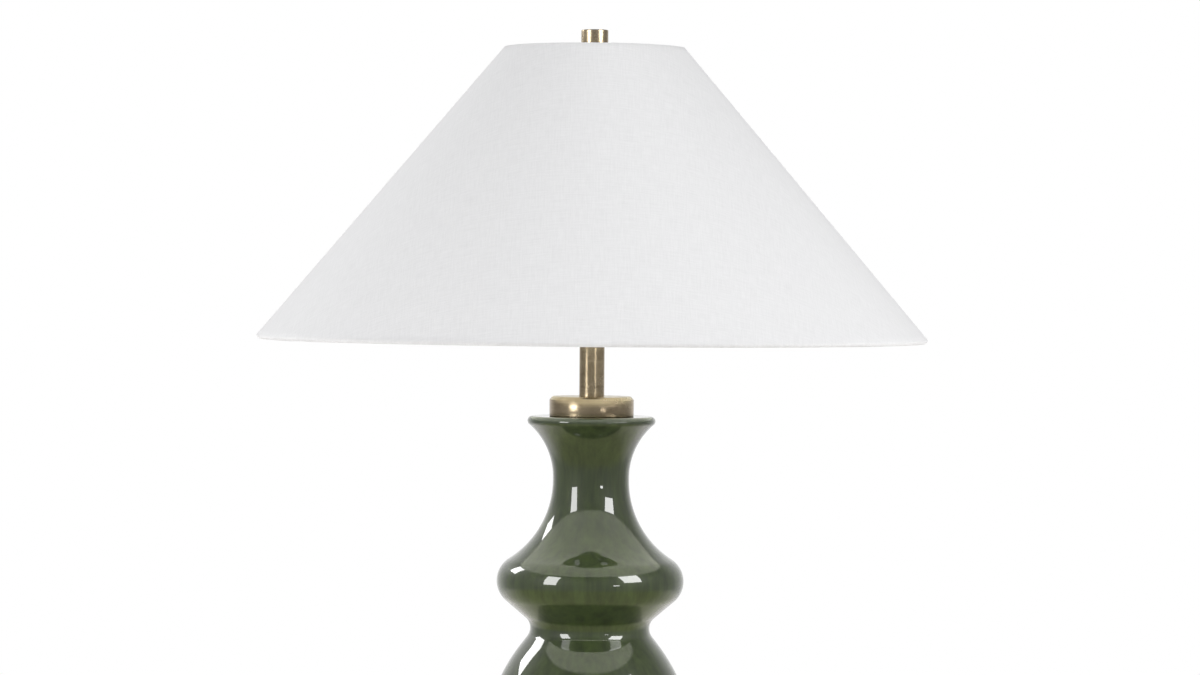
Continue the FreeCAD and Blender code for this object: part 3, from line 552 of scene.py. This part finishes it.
cap_low, cap_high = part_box("vase_cap")
cap_r = cap_high.x
CAP_SHEET = 0.0015
CAP_BEVEL = 0.0022
CAP_SOFT = 0.0005         # rounding of the bevel's two edges
cap = start_outline("vase_cap_turned", hole_r, cap_high.z - CAP_SHEET)
run_to(hole_r, cap_high.z)
run_to(cap_r - CAP_BEVEL - CAP_SOFT, cap_high.z)
bend(cap_r - CAP_BEVEL - CAP_SOFT, cap_high.z - 2 * CAP_SOFT, -30, 3)
run_to(cap_r - CAP_SOFT / 2, cap_high.z - CAP_BEVEL)
run_to(cap_r, cap_high.z - CAP_BEVEL - CAP_SOFT)
run_to(cap_r, cap_low.z + CAP_SOFT)
bend(cap_r - CAP_SOFT, cap_low.z + CAP_SOFT, -90, 3)
run_to(cap_r - CAP_SHEET, cap_low.z)
run_to(cap_r - CAP_SHEET, cap_high.z - CAP_SHEET - CAP_BEVEL)
run_to(cap_r - CAP_SHEET - CAP_BEVEL, cap_high.z - CAP_SHEET)
run_to(hole_r, cap_high.z - CAP_SHEET)
turn_outline(steps=128, sharp=28)
dress(cap, brass)
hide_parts("vase_cap")
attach(cap, "lamp")


def turned_tube(name, low, high, outer, inner, edge, x=0.0):
    """A tube turned on a lathe, with its four edges broken."""
    piece = start_outline(name, x + outer - edge, low)
    run_to(x + outer, low + edge)
    run_to(x + outer, high - edge)
    run_to(x + outer - edge, high)
    run_to(x + inner + edge, high)
    run_to(x + inner, high - edge)
    run_to(x + inner, low + edge)
    run_to(x + inner + edge, low)
    run_to(x + outer - edge, low)
    return piece


tube_low, tube_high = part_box("neck_tube")
TUBE_WALL = 0.001
TUBE_EDGE = 0.0002
neck = turned_tube("neck_tube_turned", tube_low.z, tube_high.z, tube_high.x,
                   tube_high.x - TUBE_WALL, TUBE_EDGE)
turn_outline(steps=96)
dress(neck, brass)
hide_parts("neck_tube")
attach(neck, "lamp")

CHECK_RING_EDGE = 0.0003
CHECK_RING_ROUND = 0.0006
SPIGOT_INSET = 0.00105    # the tube's wall and a little room
ring_low, ring_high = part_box("neck_ring")
spigot_r = tube_high.x - SPIGOT_INSET
ring = start_outline("check_ring_turned", hole_r, ring_low.z)
run_to(spigot_r, ring_low.z)
run_to(spigot_r, tube_high.z)
run_to(ring_high.x - CHECK_RING_EDGE, tube_high.z)
bend(ring_high.x - CHECK_RING_EDGE, tube_high.z + CHECK_RING_EDGE, 90, 3)
run_to(ring_high.x, ring_high.z - CHECK_RING_ROUND)
bend(ring_high.x - CHECK_RING_ROUND, ring_high.z - CHECK_RING_ROUND, 90, 4)
run_to(hole_r, ring_high.z)
run_to(hole_r, ring_low.z)
turn_outline(steps=96)
dress(ring, brass)
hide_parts("neck_ring")
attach(ring, "lamp")


# ---- harp and its saddle ----
# The saddle is a strip pressed to a U under the socket. The harp is one drawn wire, bent in three bends a
# side, with its top flattened to an eye for the stud. Two sleeves slide down to lock it on the saddle.
plate = plated("plain_brass_plating", "#a98a4e", "#c4a566", 0.16, 0.28, 1800.0)
paint("harp_saddle", plate)
WIRE_R = 0.0017
LEG_X = 0.0290
HALF_WIDTH = 0.0580
FOOT_BEND = 0.030
SIDE_BEND = 0.090
HARP_LEAN = 18
TOP_HALF = 0.008
EYE_R = 0.0070
EYE_ROUND = 0.0008
END_ROUND = 0.0005
END_EDGE = 0.0002
RIVET_R = 0.00225
SOCKET_R = 0.0030
SOCKET_HEIGHT = 0.0115
SOCKET_BORE = 0.0023
ROOF = 0.0015
BEND_STEPS = 5.0          # degrees


def draw_wire(name, x, z, heading, moves, thick):
    """Round wire in the XZ plane, by runs (length,) and bends (radius, turn in degrees)."""
    piece = start_outline(name, x, z)
    for move in moves:
        end = middle_of_selection()
        way = math.radians(heading)
        if len(move) == 1:
            run_to(end.x + move[0] * math.cos(way), end.z + move[0] * math.sin(way))
            continue
        reach = math.copysign(move[0], move[1])
        steps = math.ceil(abs(move[1]) / BEND_STEPS)
        bend(end.x - reach * math.sin(way), end.z + reach * math.cos(way), move[1], steps)
        heading += move[1]
    bpy.ops.mesh.select_all(action="SELECT")
    bpy.ops.mesh.remove_doubles(threshold=MERGE)
    bpy.ops.object.mode_set(mode="OBJECT")
    bpy.ops.object.convert(target="CURVE")
    piece.data.bevel_depth = thick / 2
    piece.data.bevel_resolution = 4
    piece.data.use_fill_caps = True
    bpy.ops.object.convert(target="MESH")
    bpy.ops.object.mode_set(mode="EDIT")
    finish_mesh(60)
    return bpy.context.object


harp_low, harp_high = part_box("harp_loop")
socket_top = harp_low.z + SOCKET_HEIGHT
leg_start = socket_top - ROOF / 2
side_x = HALF_WIDTH - WIRE_R
top_bend = side_x - TOP_HALF
lean = math.radians(HARP_LEAN)
bends = FOOT_BEND + SIDE_BEND
lean_run = (side_x - LEG_X - bends * (1 - math.cos(lean))) / math.sin(lean)
lean_height = bends * math.sin(lean) + lean_run * math.cos(lean)
leg_run = harp_high.z - WIRE_R - leg_start - lean_height - top_bend
rising = [(leg_run,), (FOOT_BEND, HARP_LEAN), (lean_run,), (SIDE_BEND, -HARP_LEAN), (top_bend, -90)]
whole = rising + [(2 * TOP_HALF,)] + rising[::-1]
harp = draw_wire("harp_loop_wire", -LEG_X, leg_start, 90, whole, 2 * WIRE_R)
harp_parts = [harp]
eye = start_outline("harp_eye", RIVET_R, harp_high.z - 2 * WIRE_R)
run_to(EYE_R - EYE_ROUND, harp_high.z - 2 * WIRE_R)
bend(EYE_R - EYE_ROUND, harp_high.z - 2 * WIRE_R + EYE_ROUND, 90, 4)
run_to(EYE_R, harp_high.z - EYE_ROUND)
bend(EYE_R - EYE_ROUND, harp_high.z - EYE_ROUND, 90, 4)
run_to(RIVET_R, harp_high.z)
run_to(RIVET_R, harp_high.z - 2 * WIRE_R)
turn_outline(steps=48)
harp_parts.append(eye)
for side in (-1, 1):
    end = start_outline("harp_end", SOCKET_BORE, harp_low.z)
    run_to(SOCKET_R - END_EDGE, harp_low.z)
    run_to(SOCKET_R, harp_low.z + END_EDGE)
    run_to(SOCKET_R, socket_top - END_ROUND)
    bend(SOCKET_R - END_ROUND, socket_top - END_ROUND, 90, 4)
    run_to(0, socket_top)
    run_to(0, socket_top - ROOF)
    run_to(SOCKET_BORE, socket_top - ROOF)
    run_to(SOCKET_BORE, harp_low.z)
    turn_outline(steps=40)
    bpy.ops.transform.translate(value=(side * LEG_X, 0, 0))
    bpy.ops.object.transform_apply(location=True, rotation=True, scale=True)
    harp_parts.append(end)


def join(pieces):
    """Join pieces into the first of them."""
    bpy.ops.object.select_all(action="DESELECT")
    for piece in pieces:
        piece.select_set(True)
    bpy.context.view_layer.objects.active = pieces[0]
    bpy.ops.object.join()
    return pieces[0]


harp = join(harp_parts)
dress(harp, plate)
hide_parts("harp_loop")
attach(harp, "lamp")

SLIDE_GAP = 0.00008
THROAT = 0.0033           # the narrow upper part of a sleeve that guides it on the wire
SLEEVE_ROUND = 0.0010
SLEEVE_EDGE = 0.0003
for side, name in ((-1, "left"), (1, "right")):
    low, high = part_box("harp_sleeve_" + name)
    sleeve_r = (high.x - low.x) / 2
    bore = SOCKET_R + SLIDE_GAP
    sleeve = start_outline("harp_sleeve_" + name + "_drawn", bore, low.z)
    bend(bore + 0.0004, low.z + 0.0004, -60, 3)
    run_to(sleeve_r, low.z + 0.0006)
    run_to(sleeve_r, high.z - THROAT - SLEEVE_EDGE)
    bend(sleeve_r - SLEEVE_ROUND, high.z - THROAT - SLEEVE_EDGE, 50, 4)
    run_to(WIRE_R + SLEEVE_ROUND, high.z - SLEEVE_EDGE)
    bend(WIRE_R + SLEEVE_ROUND / 2, high.z - SLEEVE_EDGE, 90, 3)
    run_to(WIRE_R + SLIDE_GAP, high.z)
    run_to(WIRE_R + SLIDE_GAP, high.z - THROAT)
    run_to(bore, high.z - THROAT)
    run_to(bore, low.z)
    turn_outline(steps=48)
    bpy.ops.transform.translate(value=(side * LEG_X, 0, 0))
    bpy.ops.object.transform_apply(location=True, rotation=True, scale=True)
    dress(sleeve, plate)
    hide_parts("harp_sleeve_" + name)
    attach(sleeve, "sleeve_" + name)


# A cut thread: the plating of its metal, with 27 threads to the inch as grooves.
threaded, tree, shader = new_material("thread_cut_in_plated_brass")
place = node(tree, "TexCoord")
up = node(tree, "SeparateXYZ", links={0: place.outputs["Object"]})
turns = node(tree, "Math", {"operation": "MULTIPLY", 1: 27 / 0.0254}, {0: up.outputs["Z"]})
round_it = node(tree, "Math", {"operation": "ARCTAN2"}, {0: up.outputs["Y"], 1: up.outputs["X"]})
lead = node(tree, "Math", {"operation": "MULTIPLY_ADD", 1: -1 / (2 * math.pi)},
            {0: round_it.outputs[0], 2: turns.outputs[0]})
saw = node(tree, "Math", {"operation": "PINGPONG", 1: 0.5}, {0: lead.outputs[0]})
groove = node(tree, "Bump", {"Strength": 1.0, "Distance": 0.0008}, {"Height": saw.outputs[0]})
tree.links.new(groove.outputs[0], shader.inputs["Normal"])
# The colour is darker down in the grooves and lighter on the crests.
groove_tone = node(tree, "ValToRGB", links={"Fac": saw.outputs[0]})
groove_tone.color_ramp.elements[0].color = linear("#6f5a33")
groove_tone.color_ramp.elements[1].position = 0.5
groove_tone.color_ramp.elements[1].color = linear("#c4a566")
tree.links.new(groove_tone.outputs["Color"], shader.inputs["Base Color"])
shader.inputs["Metallic"].default_value = 1.0
shader.inputs["Roughness"].default_value = 0.28

stud_low, stud_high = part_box("harp_stud")
seat_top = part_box("spider_washer")[0].z
STUD_R = 0.00317
RIVET_HEAD_R = 0.0036
RIVET_HEAD = 0.0012
RIVET_SHANK_R = 0.0022
STUD_EDGE = 0.0003
STUD_BEVEL = 0.0004
STUD_POINT = 0.0006
stud = start_outline("harp_stud_turned", 0, stud_low.z)
run_to(RIVET_HEAD_R - RIVET_HEAD / 2, stud_low.z)
run_to(RIVET_HEAD_R, stud_low.z + RIVET_HEAD / 2)
run_to(RIVET_HEAD_R, stud_low.z + RIVET_HEAD)
run_to(RIVET_SHANK_R, stud_low.z + RIVET_HEAD)
run_to(RIVET_SHANK_R, harp_high.z)
run_to(stud_high.x - STUD_EDGE, harp_high.z)
run_to(stud_high.x, harp_high.z + STUD_EDGE)
run_to(stud_high.x, seat_top - STUD_BEVEL)
run_to(stud_high.x - STUD_BEVEL, seat_top)
run_to(STUD_R, seat_top)
run_to(STUD_R, stud_high.z - STUD_POINT)
run_to(STUD_R - STUD_POINT, stud_high.z)
run_to(0, stud_high.z)
turn_outline(steps=64, sharp=28)
dress(stud, plate)
stud.data.materials.append(threaded)
for face in stud.data.polygons:
    if seat_top + 0.0002 < face.center.z < stud_high.z - 0.0007:
        face.material_index = 1
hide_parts("harp_stud")
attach(stud, "lamp")


# ---- socket ----
# A plain medium-base socket: drawn brass cap and beaded shell, card liner, moulded block with its two
# terminals, a screw shell rolled from thin sheet, and a spring contact. The knob turns the switch.
paint("socket_cap", plate)
paint("terminal_screws", plate)
paint("centre_contact", plate)
paint("switch_block", black_plastic)
paint("switch_spindle", zinc)
paint("socket_shell", plate)

# Vulcanised card: grey-brown, with short fibres lying every way.
card, tree, shader = new_material("fibre_card")
place = node(tree, "TexCoord")
fibre = node(tree, "TexNoise", {"Scale": 800.0, "Detail": 4.0, "Distortion": 1.5},
             {"Vector": place.outputs["Object"]})
tone = node(tree, "ValToRGB", links={"Fac": fibre.outputs["Fac"]})
tone.color_ramp.elements[0].color = linear("#6b6255")
tone.color_ramp.elements[1].color = linear("#8f8676")
tree.links.new(tone.outputs["Color"], shader.inputs["Base Color"])
shader.inputs["Roughness"].default_value = 0.85
paint("socket_liner", card)

# The screw shell's rolled thread has seven turns to the inch. It is drawn as one pitch and screwed down.
PITCH = 0.0254 / 7
THREAD_DEPTH = 0.0007
CREST_STEPS = 10
SHELL_SHEET = 0.0004
thread_low, thread_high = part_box("screw_shell")
thread_r = thread_high.x
thread = start_outline("screw_shell_rolled", thread_r, thread_high.z)
for k in range(1, CREST_STEPS + 1):
    depth = THREAD_DEPTH * (1 - math.cos(2 * math.pi * k / CREST_STEPS)) / 2
    run_to(thread_r - depth, thread_high.z + PITCH * k / CREST_STEPS)
bpy.ops.mesh.select_all(action="SELECT")
turns = math.ceil((thread_high.z - thread_low.z) / PITCH) + 1
bpy.ops.mesh.screw(steps=48, turns=turns, center=(0, 0, 0), axis=(0, 0, 1))
bpy.ops.mesh.select_all(action="SELECT")
bpy.ops.mesh.remove_doubles(threshold=MERGE)
bpy.ops.mesh.select_all(action="SELECT")
bpy.ops.mesh.bisect(plane_co=(0, 0, thread_low.z), plane_no=(0, 0, 1), clear_inner=True)
bpy.ops.mesh.select_all(action="SELECT")
bpy.ops.mesh.bisect(plane_co=(0, 0, thread_high.z), plane_no=(0, 0, 1), clear_outer=True)
finish_mesh(60)
wall = thread.modifiers.new("wall", "SOLIDIFY")
wall.thickness = SHELL_SHEET
wall.offset = -1
bpy.ops.object.modifier_apply(modifier=wall.name)
shell_metal = plated("rolled_screw_shell_nickel", "#b4ad9c", "#cfc8b8", 0.2, 0.32, 1500.0)
dress(thread, shell_metal)
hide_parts("screw_shell")
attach(thread, "lamp")

# The knob is a moulded cylinder with ten flutes, closed by a low dome.
KNOB_FLUTES = 10
FLUTE_COLUMNS = 8
FLUTE_DEPTH = 0.0009
KNOB_RINGS = (0.90, 0.75, 0.55)    # each ring of an end, as a share of the one outside it
KNOB_DOME_FROM = 0.0030
KNOB_DOME = 110
knob_low, knob_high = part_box("switch_knob")
knob_z = (knob_low.z + knob_high.z) / 2
knob_r = (knob_high.x - knob_low.x) / 2
knob_length = knob_high.y - knob_low.y
bpy.ops.object.select_all(action="DESELECT")
bpy.ops.mesh.primitive_cylinder_add(vertices=KNOB_FLUTES * FLUTE_COLUMNS, radius=knob_r, depth=knob_length)
knob = bpy.context.object
knob.name = knob.data.name = "switch_knob_fluted"
bpy.ops.object.mode_set(mode="EDIT")
shape = bmesh.from_edit_mesh(knob.data)
for vertex in shape.verts:
    column = math.atan2(vertex.co.y, vertex.co.x) / (2 * math.pi) * KNOB_FLUTES * FLUTE_COLUMNS
    within = round(column) % FLUTE_COLUMNS
    sunk = FLUTE_DEPTH * max(0.0, math.cos(within / FLUTE_COLUMNS * 2 * math.pi))
    vertex.co.x *= 1 - sunk / knob_r
    vertex.co.y *= 1 - sunk / knob_r
bmesh.update_edit_mesh(knob.data)
bpy.ops.mesh.select_mode(type="FACE")
bpy.ops.mesh.select_all(action="DESELECT")
shape = bmesh.from_edit_mesh(knob.data)
for face in shape.faces:
    face.select = abs(face.normal.z) > 0.9
bmesh.update_edit_mesh(knob.data)
for share in KNOB_RINGS:
    bpy.ops.mesh.extrude_region_move()
    bpy.ops.transform.resize(value=(share, share, 1), center_override=(0, 0, 0))
bpy.ops.mesh.select_mode(type="VERT")
bpy.ops.object.mode_set(mode="OBJECT")
for vertex in knob.data.vertices:
    out = math.hypot(vertex.co.x, vertex.co.y)
    if vertex.co.z > 0:
        vertex.co.z -= max(0.0, out - KNOB_DOME_FROM) ** 2 * KNOB_DOME
knob.rotation_euler.x = math.pi / 2
knob.location = (0, (knob_low.y + knob_high.y) / 2, knob_z)
bpy.ops.object.transform_apply(location=True, rotation=True, scale=True)
bpy.ops.object.mode_set(mode="EDIT")
finish_mesh(40)
dress(knob, black_plastic)
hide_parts("switch_knob")
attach(knob, "switch")


# ---- shade: spider, rings and cover ----
# A spider washer with three arms carries the top ring. The cover is linen laminated to white styrene,
# wrapped to a cone and rolled round a ring wire at both edges. Its lap seam isn't drawn.
wire_zinc = plated("zinc_plated_wire", "#a4a7a8", "#c4c6c6", 0.25, 0.38, 2200.0)
paint("shade_bottom_ring", wire_zinc)
paint("shade_top_ring", wire_zinc)
washer_low, washer_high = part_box("spider_washer")
WASHER_BORE_R = STUD_R + 0.00025
WASHER_EDGE = 0.0003
washer = turned_tube("spider_washer_pressed", washer_low.z, washer_high.z, washer_high.x,
                     WASHER_BORE_R, WASHER_EDGE)
turn_outline(steps=64, sharp=40)
dress(washer, wire_zinc)
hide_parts("spider_washer")
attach(washer, "shade")

SHEET = 0.0010
RING_WIRE_R = 0.0013
HEM_GAP = 0.00045
HEM_WRAP = 270            # degrees of each ring wire that the rolled edge covers
RING_TO_EDGE = 0.00265    # from the top ring's middle to the cover's upper edge
TOP_EDGE_R = 0.0705       # outer radius of the cover's upper edge
HEM_PROUD = 0.0005        # how far the rolled edge stands out from the slope
cover_low, cover_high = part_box("shade_cover")
roll_r = RING_WIRE_R + HEM_GAP + SHEET
low_z = cover_low.z + roll_r
top_z = cover_high.z - RING_TO_EDGE
low_r = cover_high.x - roll_r
top_r = TOP_EDGE_R - roll_r
steep = math.atan2(low_r - top_r, top_z - low_z)
square_on = math.degrees(steep)

ARM_R = 0.0012
ARM_INNER_RUN = 0.006
WELD_DEPTH = 0.0002
ARM_RISE = 35
ARM_BEND = 0.003
ARM_COUNT = 3
ARM_FIRST = 90
arm_z = (washer_low.z + washer_high.z) / 2
arm_end = top_r - RING_WIRE_R
lost = ARM_BEND * math.tan(math.radians(ARM_RISE) / 2)
slope = (top_z - arm_z) / math.sin(math.radians(ARM_RISE))
outer_run = arm_end - washer_high.x - ARM_INNER_RUN - slope * math.cos(math.radians(ARM_RISE))
moves = [(ARM_INNER_RUN - lost,), (ARM_BEND, ARM_RISE), (slope - 2 * lost,)]
moves += [(ARM_BEND, -ARM_RISE), (outer_run - lost,)]
arms = []
for k in range(ARM_COUNT):
    arm = draw_wire("spider_arm", washer_high.x - WELD_DEPTH, arm_z, 0, moves, 2 * ARM_R)
    arm.rotation_euler.z = math.radians(ARM_FIRST + 360 * k / ARM_COUNT)
    bpy.ops.object.transform_apply(location=True, rotation=True, scale=True)
    arms.append(arm)
spider = join(arms)
spider.name = spider.data.name = "spider_arms_welded"
dress(spider, wire_zinc)
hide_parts("spider_arms")
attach(spider, "shade")


def round_ring(ring_r, ring_z, reach, angle):
    """A place in the plane of the outline at some reach and angle from the middle of a ring's wire."""
    return ring_r + reach * math.cos(math.radians(angle)), ring_z + reach * math.sin(math.radians(angle))


HEM_STEPS = 20
SLOPE_STEPS = 24
SLOPE_MARGIN = 0.01
inner = roll_r - SHEET
start = math.degrees(math.acos(1 - HEM_PROUD / roll_r))
cover = start_outline("shade_cover_linen", *round_ring(top_r, top_z, roll_r, square_on + start))
out_top = round_ring(top_r, top_z, roll_r - HEM_PROUD, square_on)
out_low = round_ring(low_r, low_z, roll_r - HEM_PROUD, square_on)
for k in range(SLOPE_STEPS + 1):
    share = SLOPE_MARGIN + (1 - 2 * SLOPE_MARGIN) * k / SLOPE_STEPS
    run_to(out_top[0] + (out_low[0] - out_top[0]) * share, out_top[1] + (out_low[1] - out_top[1]) * share)
run_to(*round_ring(low_r, low_z, roll_r, square_on - start))
bend(low_r, low_z, -(HEM_WRAP - start), HEM_STEPS)
run_to(*round_ring(low_r, low_z, inner, square_on - HEM_WRAP))
bend(low_r, low_z, HEM_WRAP, HEM_STEPS)
run_to(*round_ring(top_r, top_z, inner, square_on))
bend(top_r, top_z, HEM_WRAP, HEM_STEPS)
run_to(*round_ring(top_r, top_z, roll_r, square_on + HEM_WRAP))
bend(top_r, top_z, -(HEM_WRAP - start), HEM_STEPS)
turn_outline(steps=192, sharp=60)

# The cloth's flat cut is a sector of a ring. Its threads are straight on that cut, so the weave is laid
# out on it, in metres from the point of the cone.
half_angle = math.sin(steep)
apex_z = top_z + top_r / math.tan(steep)
flat = cover.data.uv_layers.new(name="flat_cut")
for face in cover.data.polygons:
    middle = math.atan2(face.center.x, -face.center.y)
    for loop in face.loop_indices:
        spot = cover.data.vertices[cover.data.loops[loop].vertex_index].co
        round_by = math.atan2(spot.x, -spot.y)
        round_by += 2 * math.pi * round((middle - round_by) / (2 * math.pi))
        down = math.hypot(math.hypot(spot.x, spot.y), apex_z - spot.z)
        flat.data[loop].uv = (down * math.sin(round_by * half_angle), down * math.cos(round_by * half_angle))

# Linen: plain weave with slubs. The threads are drawn at 0.9 mm, twice the real pitch, since finer ones
# vanish in the picture. A matt white with a soft nap. Its colour follows the relief: the slubs vary the
# tone, and it is a touch greyer between the threads, which is painted shade.
linen, tree, shader = new_material("white_linen_laminated")
THREAD = 0.0009
cut = node(tree, "UVMap", {"uv_map": "flat_cut"})
across = node(tree, "SeparateXYZ", links={0: cut.outputs["UV"]})
slub_a = node(tree, "Mapping", {"Scale": (900.0, 60.0, 1.0)}, {"Vector": cut.outputs["UV"]})
slub_b = node(tree, "Mapping", {"Scale": (60.0, 900.0, 1.0)}, {"Vector": cut.outputs["UV"]})
warp = node(tree, "TexNoise", {"Scale": 1.0, "Detail": 3.0, "Roughness": 0.65}, {"Vector": slub_a.outputs[0]})
weft = node(tree, "TexNoise", {"Scale": 1.0, "Detail": 3.0, "Roughness": 0.65}, {"Vector": slub_b.outputs[0]})
wave_u = node(tree, "Math", {"operation": "MULTIPLY", 1: 2 * math.pi / THREAD}, {0: across.outputs["X"]})
wave_v = node(tree, "Math", {"operation": "MULTIPLY", 1: 2 * math.pi / THREAD}, {0: across.outputs["Y"]})
sine_u = node(tree, "Math", {"operation": "SINE"}, {0: wave_u.outputs[0]})
sine_v = node(tree, "Math", {"operation": "SINE"}, {0: wave_v.outputs[0]})
woven = node(tree, "Math", {"operation": "MULTIPLY"}, {0: sine_u.outputs[0], 1: sine_v.outputs[0]})
slubs = node(tree, "Math", {"operation": "ADD"}, {0: warp.outputs["Fac"], 1: weft.outputs["Fac"]})
relief = node(tree, "Math", {"operation": "MULTIPLY_ADD", 1: 0.18},
              {0: woven.outputs[0], 2: slubs.outputs[0]})
halved = node(tree, "Math", {"operation": "MULTIPLY", 1: 0.5}, {0: relief.outputs[0]})
tone = node(tree, "ValToRGB", links={"Fac": halved.outputs[0]})
tone.color_ramp.elements[0].position = 0.30
tone.color_ramp.elements[0].color = linear("#dfdfe0")
tone.color_ramp.elements[1].position = 0.70
tone.color_ramp.elements[1].color = linear("#ebebec")
tree.links.new(tone.outputs["Color"], shader.inputs["Base Color"])
bump = node(tree, "Bump", {"Strength": 0.35, "Distance": 0.00025}, {"Height": relief.outputs[0]})
tree.links.new(bump.outputs[0], shader.inputs["Normal"])
shader.inputs["Roughness"].default_value = 0.95
shader.inputs["Specular IOR Level"].default_value = 0.2
shader.inputs["Sheen Weight"].default_value = 0.15

# Styrene: a smooth, slightly waxy white film with faint rolling marks. It is also given a painted glow,
# a greenish-white emission that only mirror rays see, so the glaze shows the shade's inside brighter.
MIRROR_ONLY_GLOW = 0.62      # a glow on the shade's inside that only mirrors see, as the glaze shows it
styrene, tree, shader = new_material("white_styrene_film")
place = node(tree, "TexCoord")
rolled = node(tree, "TexNoise", {"Scale": 30.0, "Detail": 3.0}, {"Vector": place.outputs["Object"]})
tone = node(tree, "ValToRGB", links={"Fac": rolled.outputs["Fac"]})
tone.color_ramp.elements[0].color = linear("#ecebe8")
tone.color_ramp.elements[1].color = linear("#f6f5f3")
tree.links.new(tone.outputs["Color"], shader.inputs["Base Color"])
rough = node(tree, "MapRange", {"To Min": 0.42, "To Max": 0.55}, {"Value": rolled.outputs["Fac"]})
tree.links.new(rough.outputs[0], shader.inputs["Roughness"])
dress(cover, linen)
cover.data.materials.append(styrene)
# Painted glow: an emission that only mirror rays see. The shade itself gives off no light.
shader.inputs["Emission Color"].default_value = linear("#f0f7e4")
ray = node(tree, "LightPath")
glow = node(tree, "Math", {"operation": "MULTIPLY", 1: MIRROR_ONLY_GLOW}, {0: ray.outputs["Is Glossy Ray"]})
tree.links.new(glow.outputs[0], shader.inputs["Emission Strength"])
slope_out = Vector((math.cos(steep), math.sin(steep)))
for face in cover.data.polygons:
    out = math.hypot(face.center.x, face.center.y)
    proud = (out - low_r) * slope_out.x + (face.center.z - low_z) * slope_out.y
    from_low = math.hypot(out - low_r, face.center.z - low_z)
    from_top = math.hypot(out - top_r, face.center.z - top_z)
    on_roll = min(from_low, from_top) > inner + SHEET / 2 and min(from_low, from_top) < roll_r + 0.0003
    if not on_roll and proud < inner + 0.0002:
        face.material_index = 1
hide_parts("shade_cover")
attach(cover, "shade")


# ---- finial ----
# A solid brass barrel, turned and browned like the cap, on a narrower neck, with a threaded insert.
fin_low, fin_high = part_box("finial_barrel")
FIN_NECK_R = 0.0070
FIN_NECK = 0.0025
FIN_EDGE = 0.0006
FIN_SMALL_EDGE = 0.0004
FIN_NECK_EDGE = 0.0003
FIN_BORE_DEPTH = 0.013
bore_r = 0.00505
bore_top = fin_low.z + FIN_BORE_DEPTH
finial = start_outline("finial_barrel_turned", bore_r, fin_low.z)
run_to(FIN_NECK_R - FIN_NECK_EDGE, fin_low.z)
run_to(FIN_NECK_R, fin_low.z + FIN_NECK_EDGE)
run_to(FIN_NECK_R, fin_low.z + FIN_NECK)
run_to(fin_high.x - FIN_SMALL_EDGE, fin_low.z + FIN_NECK)
bend(fin_high.x - FIN_SMALL_EDGE, fin_low.z + FIN_NECK + FIN_SMALL_EDGE, 90, 4)
run_to(fin_high.x, fin_high.z - FIN_EDGE)
bend(fin_high.x - FIN_EDGE, fin_high.z - FIN_EDGE, 90, 5)
run_to(0, fin_high.z)
run_to(0, bore_top)
run_to(bore_r, bore_top)
run_to(bore_r, fin_low.z)
turn_outline(steps=96)
dress(finial, brass)
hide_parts("finial_barrel")
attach(finial, "finial")
paint("finial_insert", threaded)
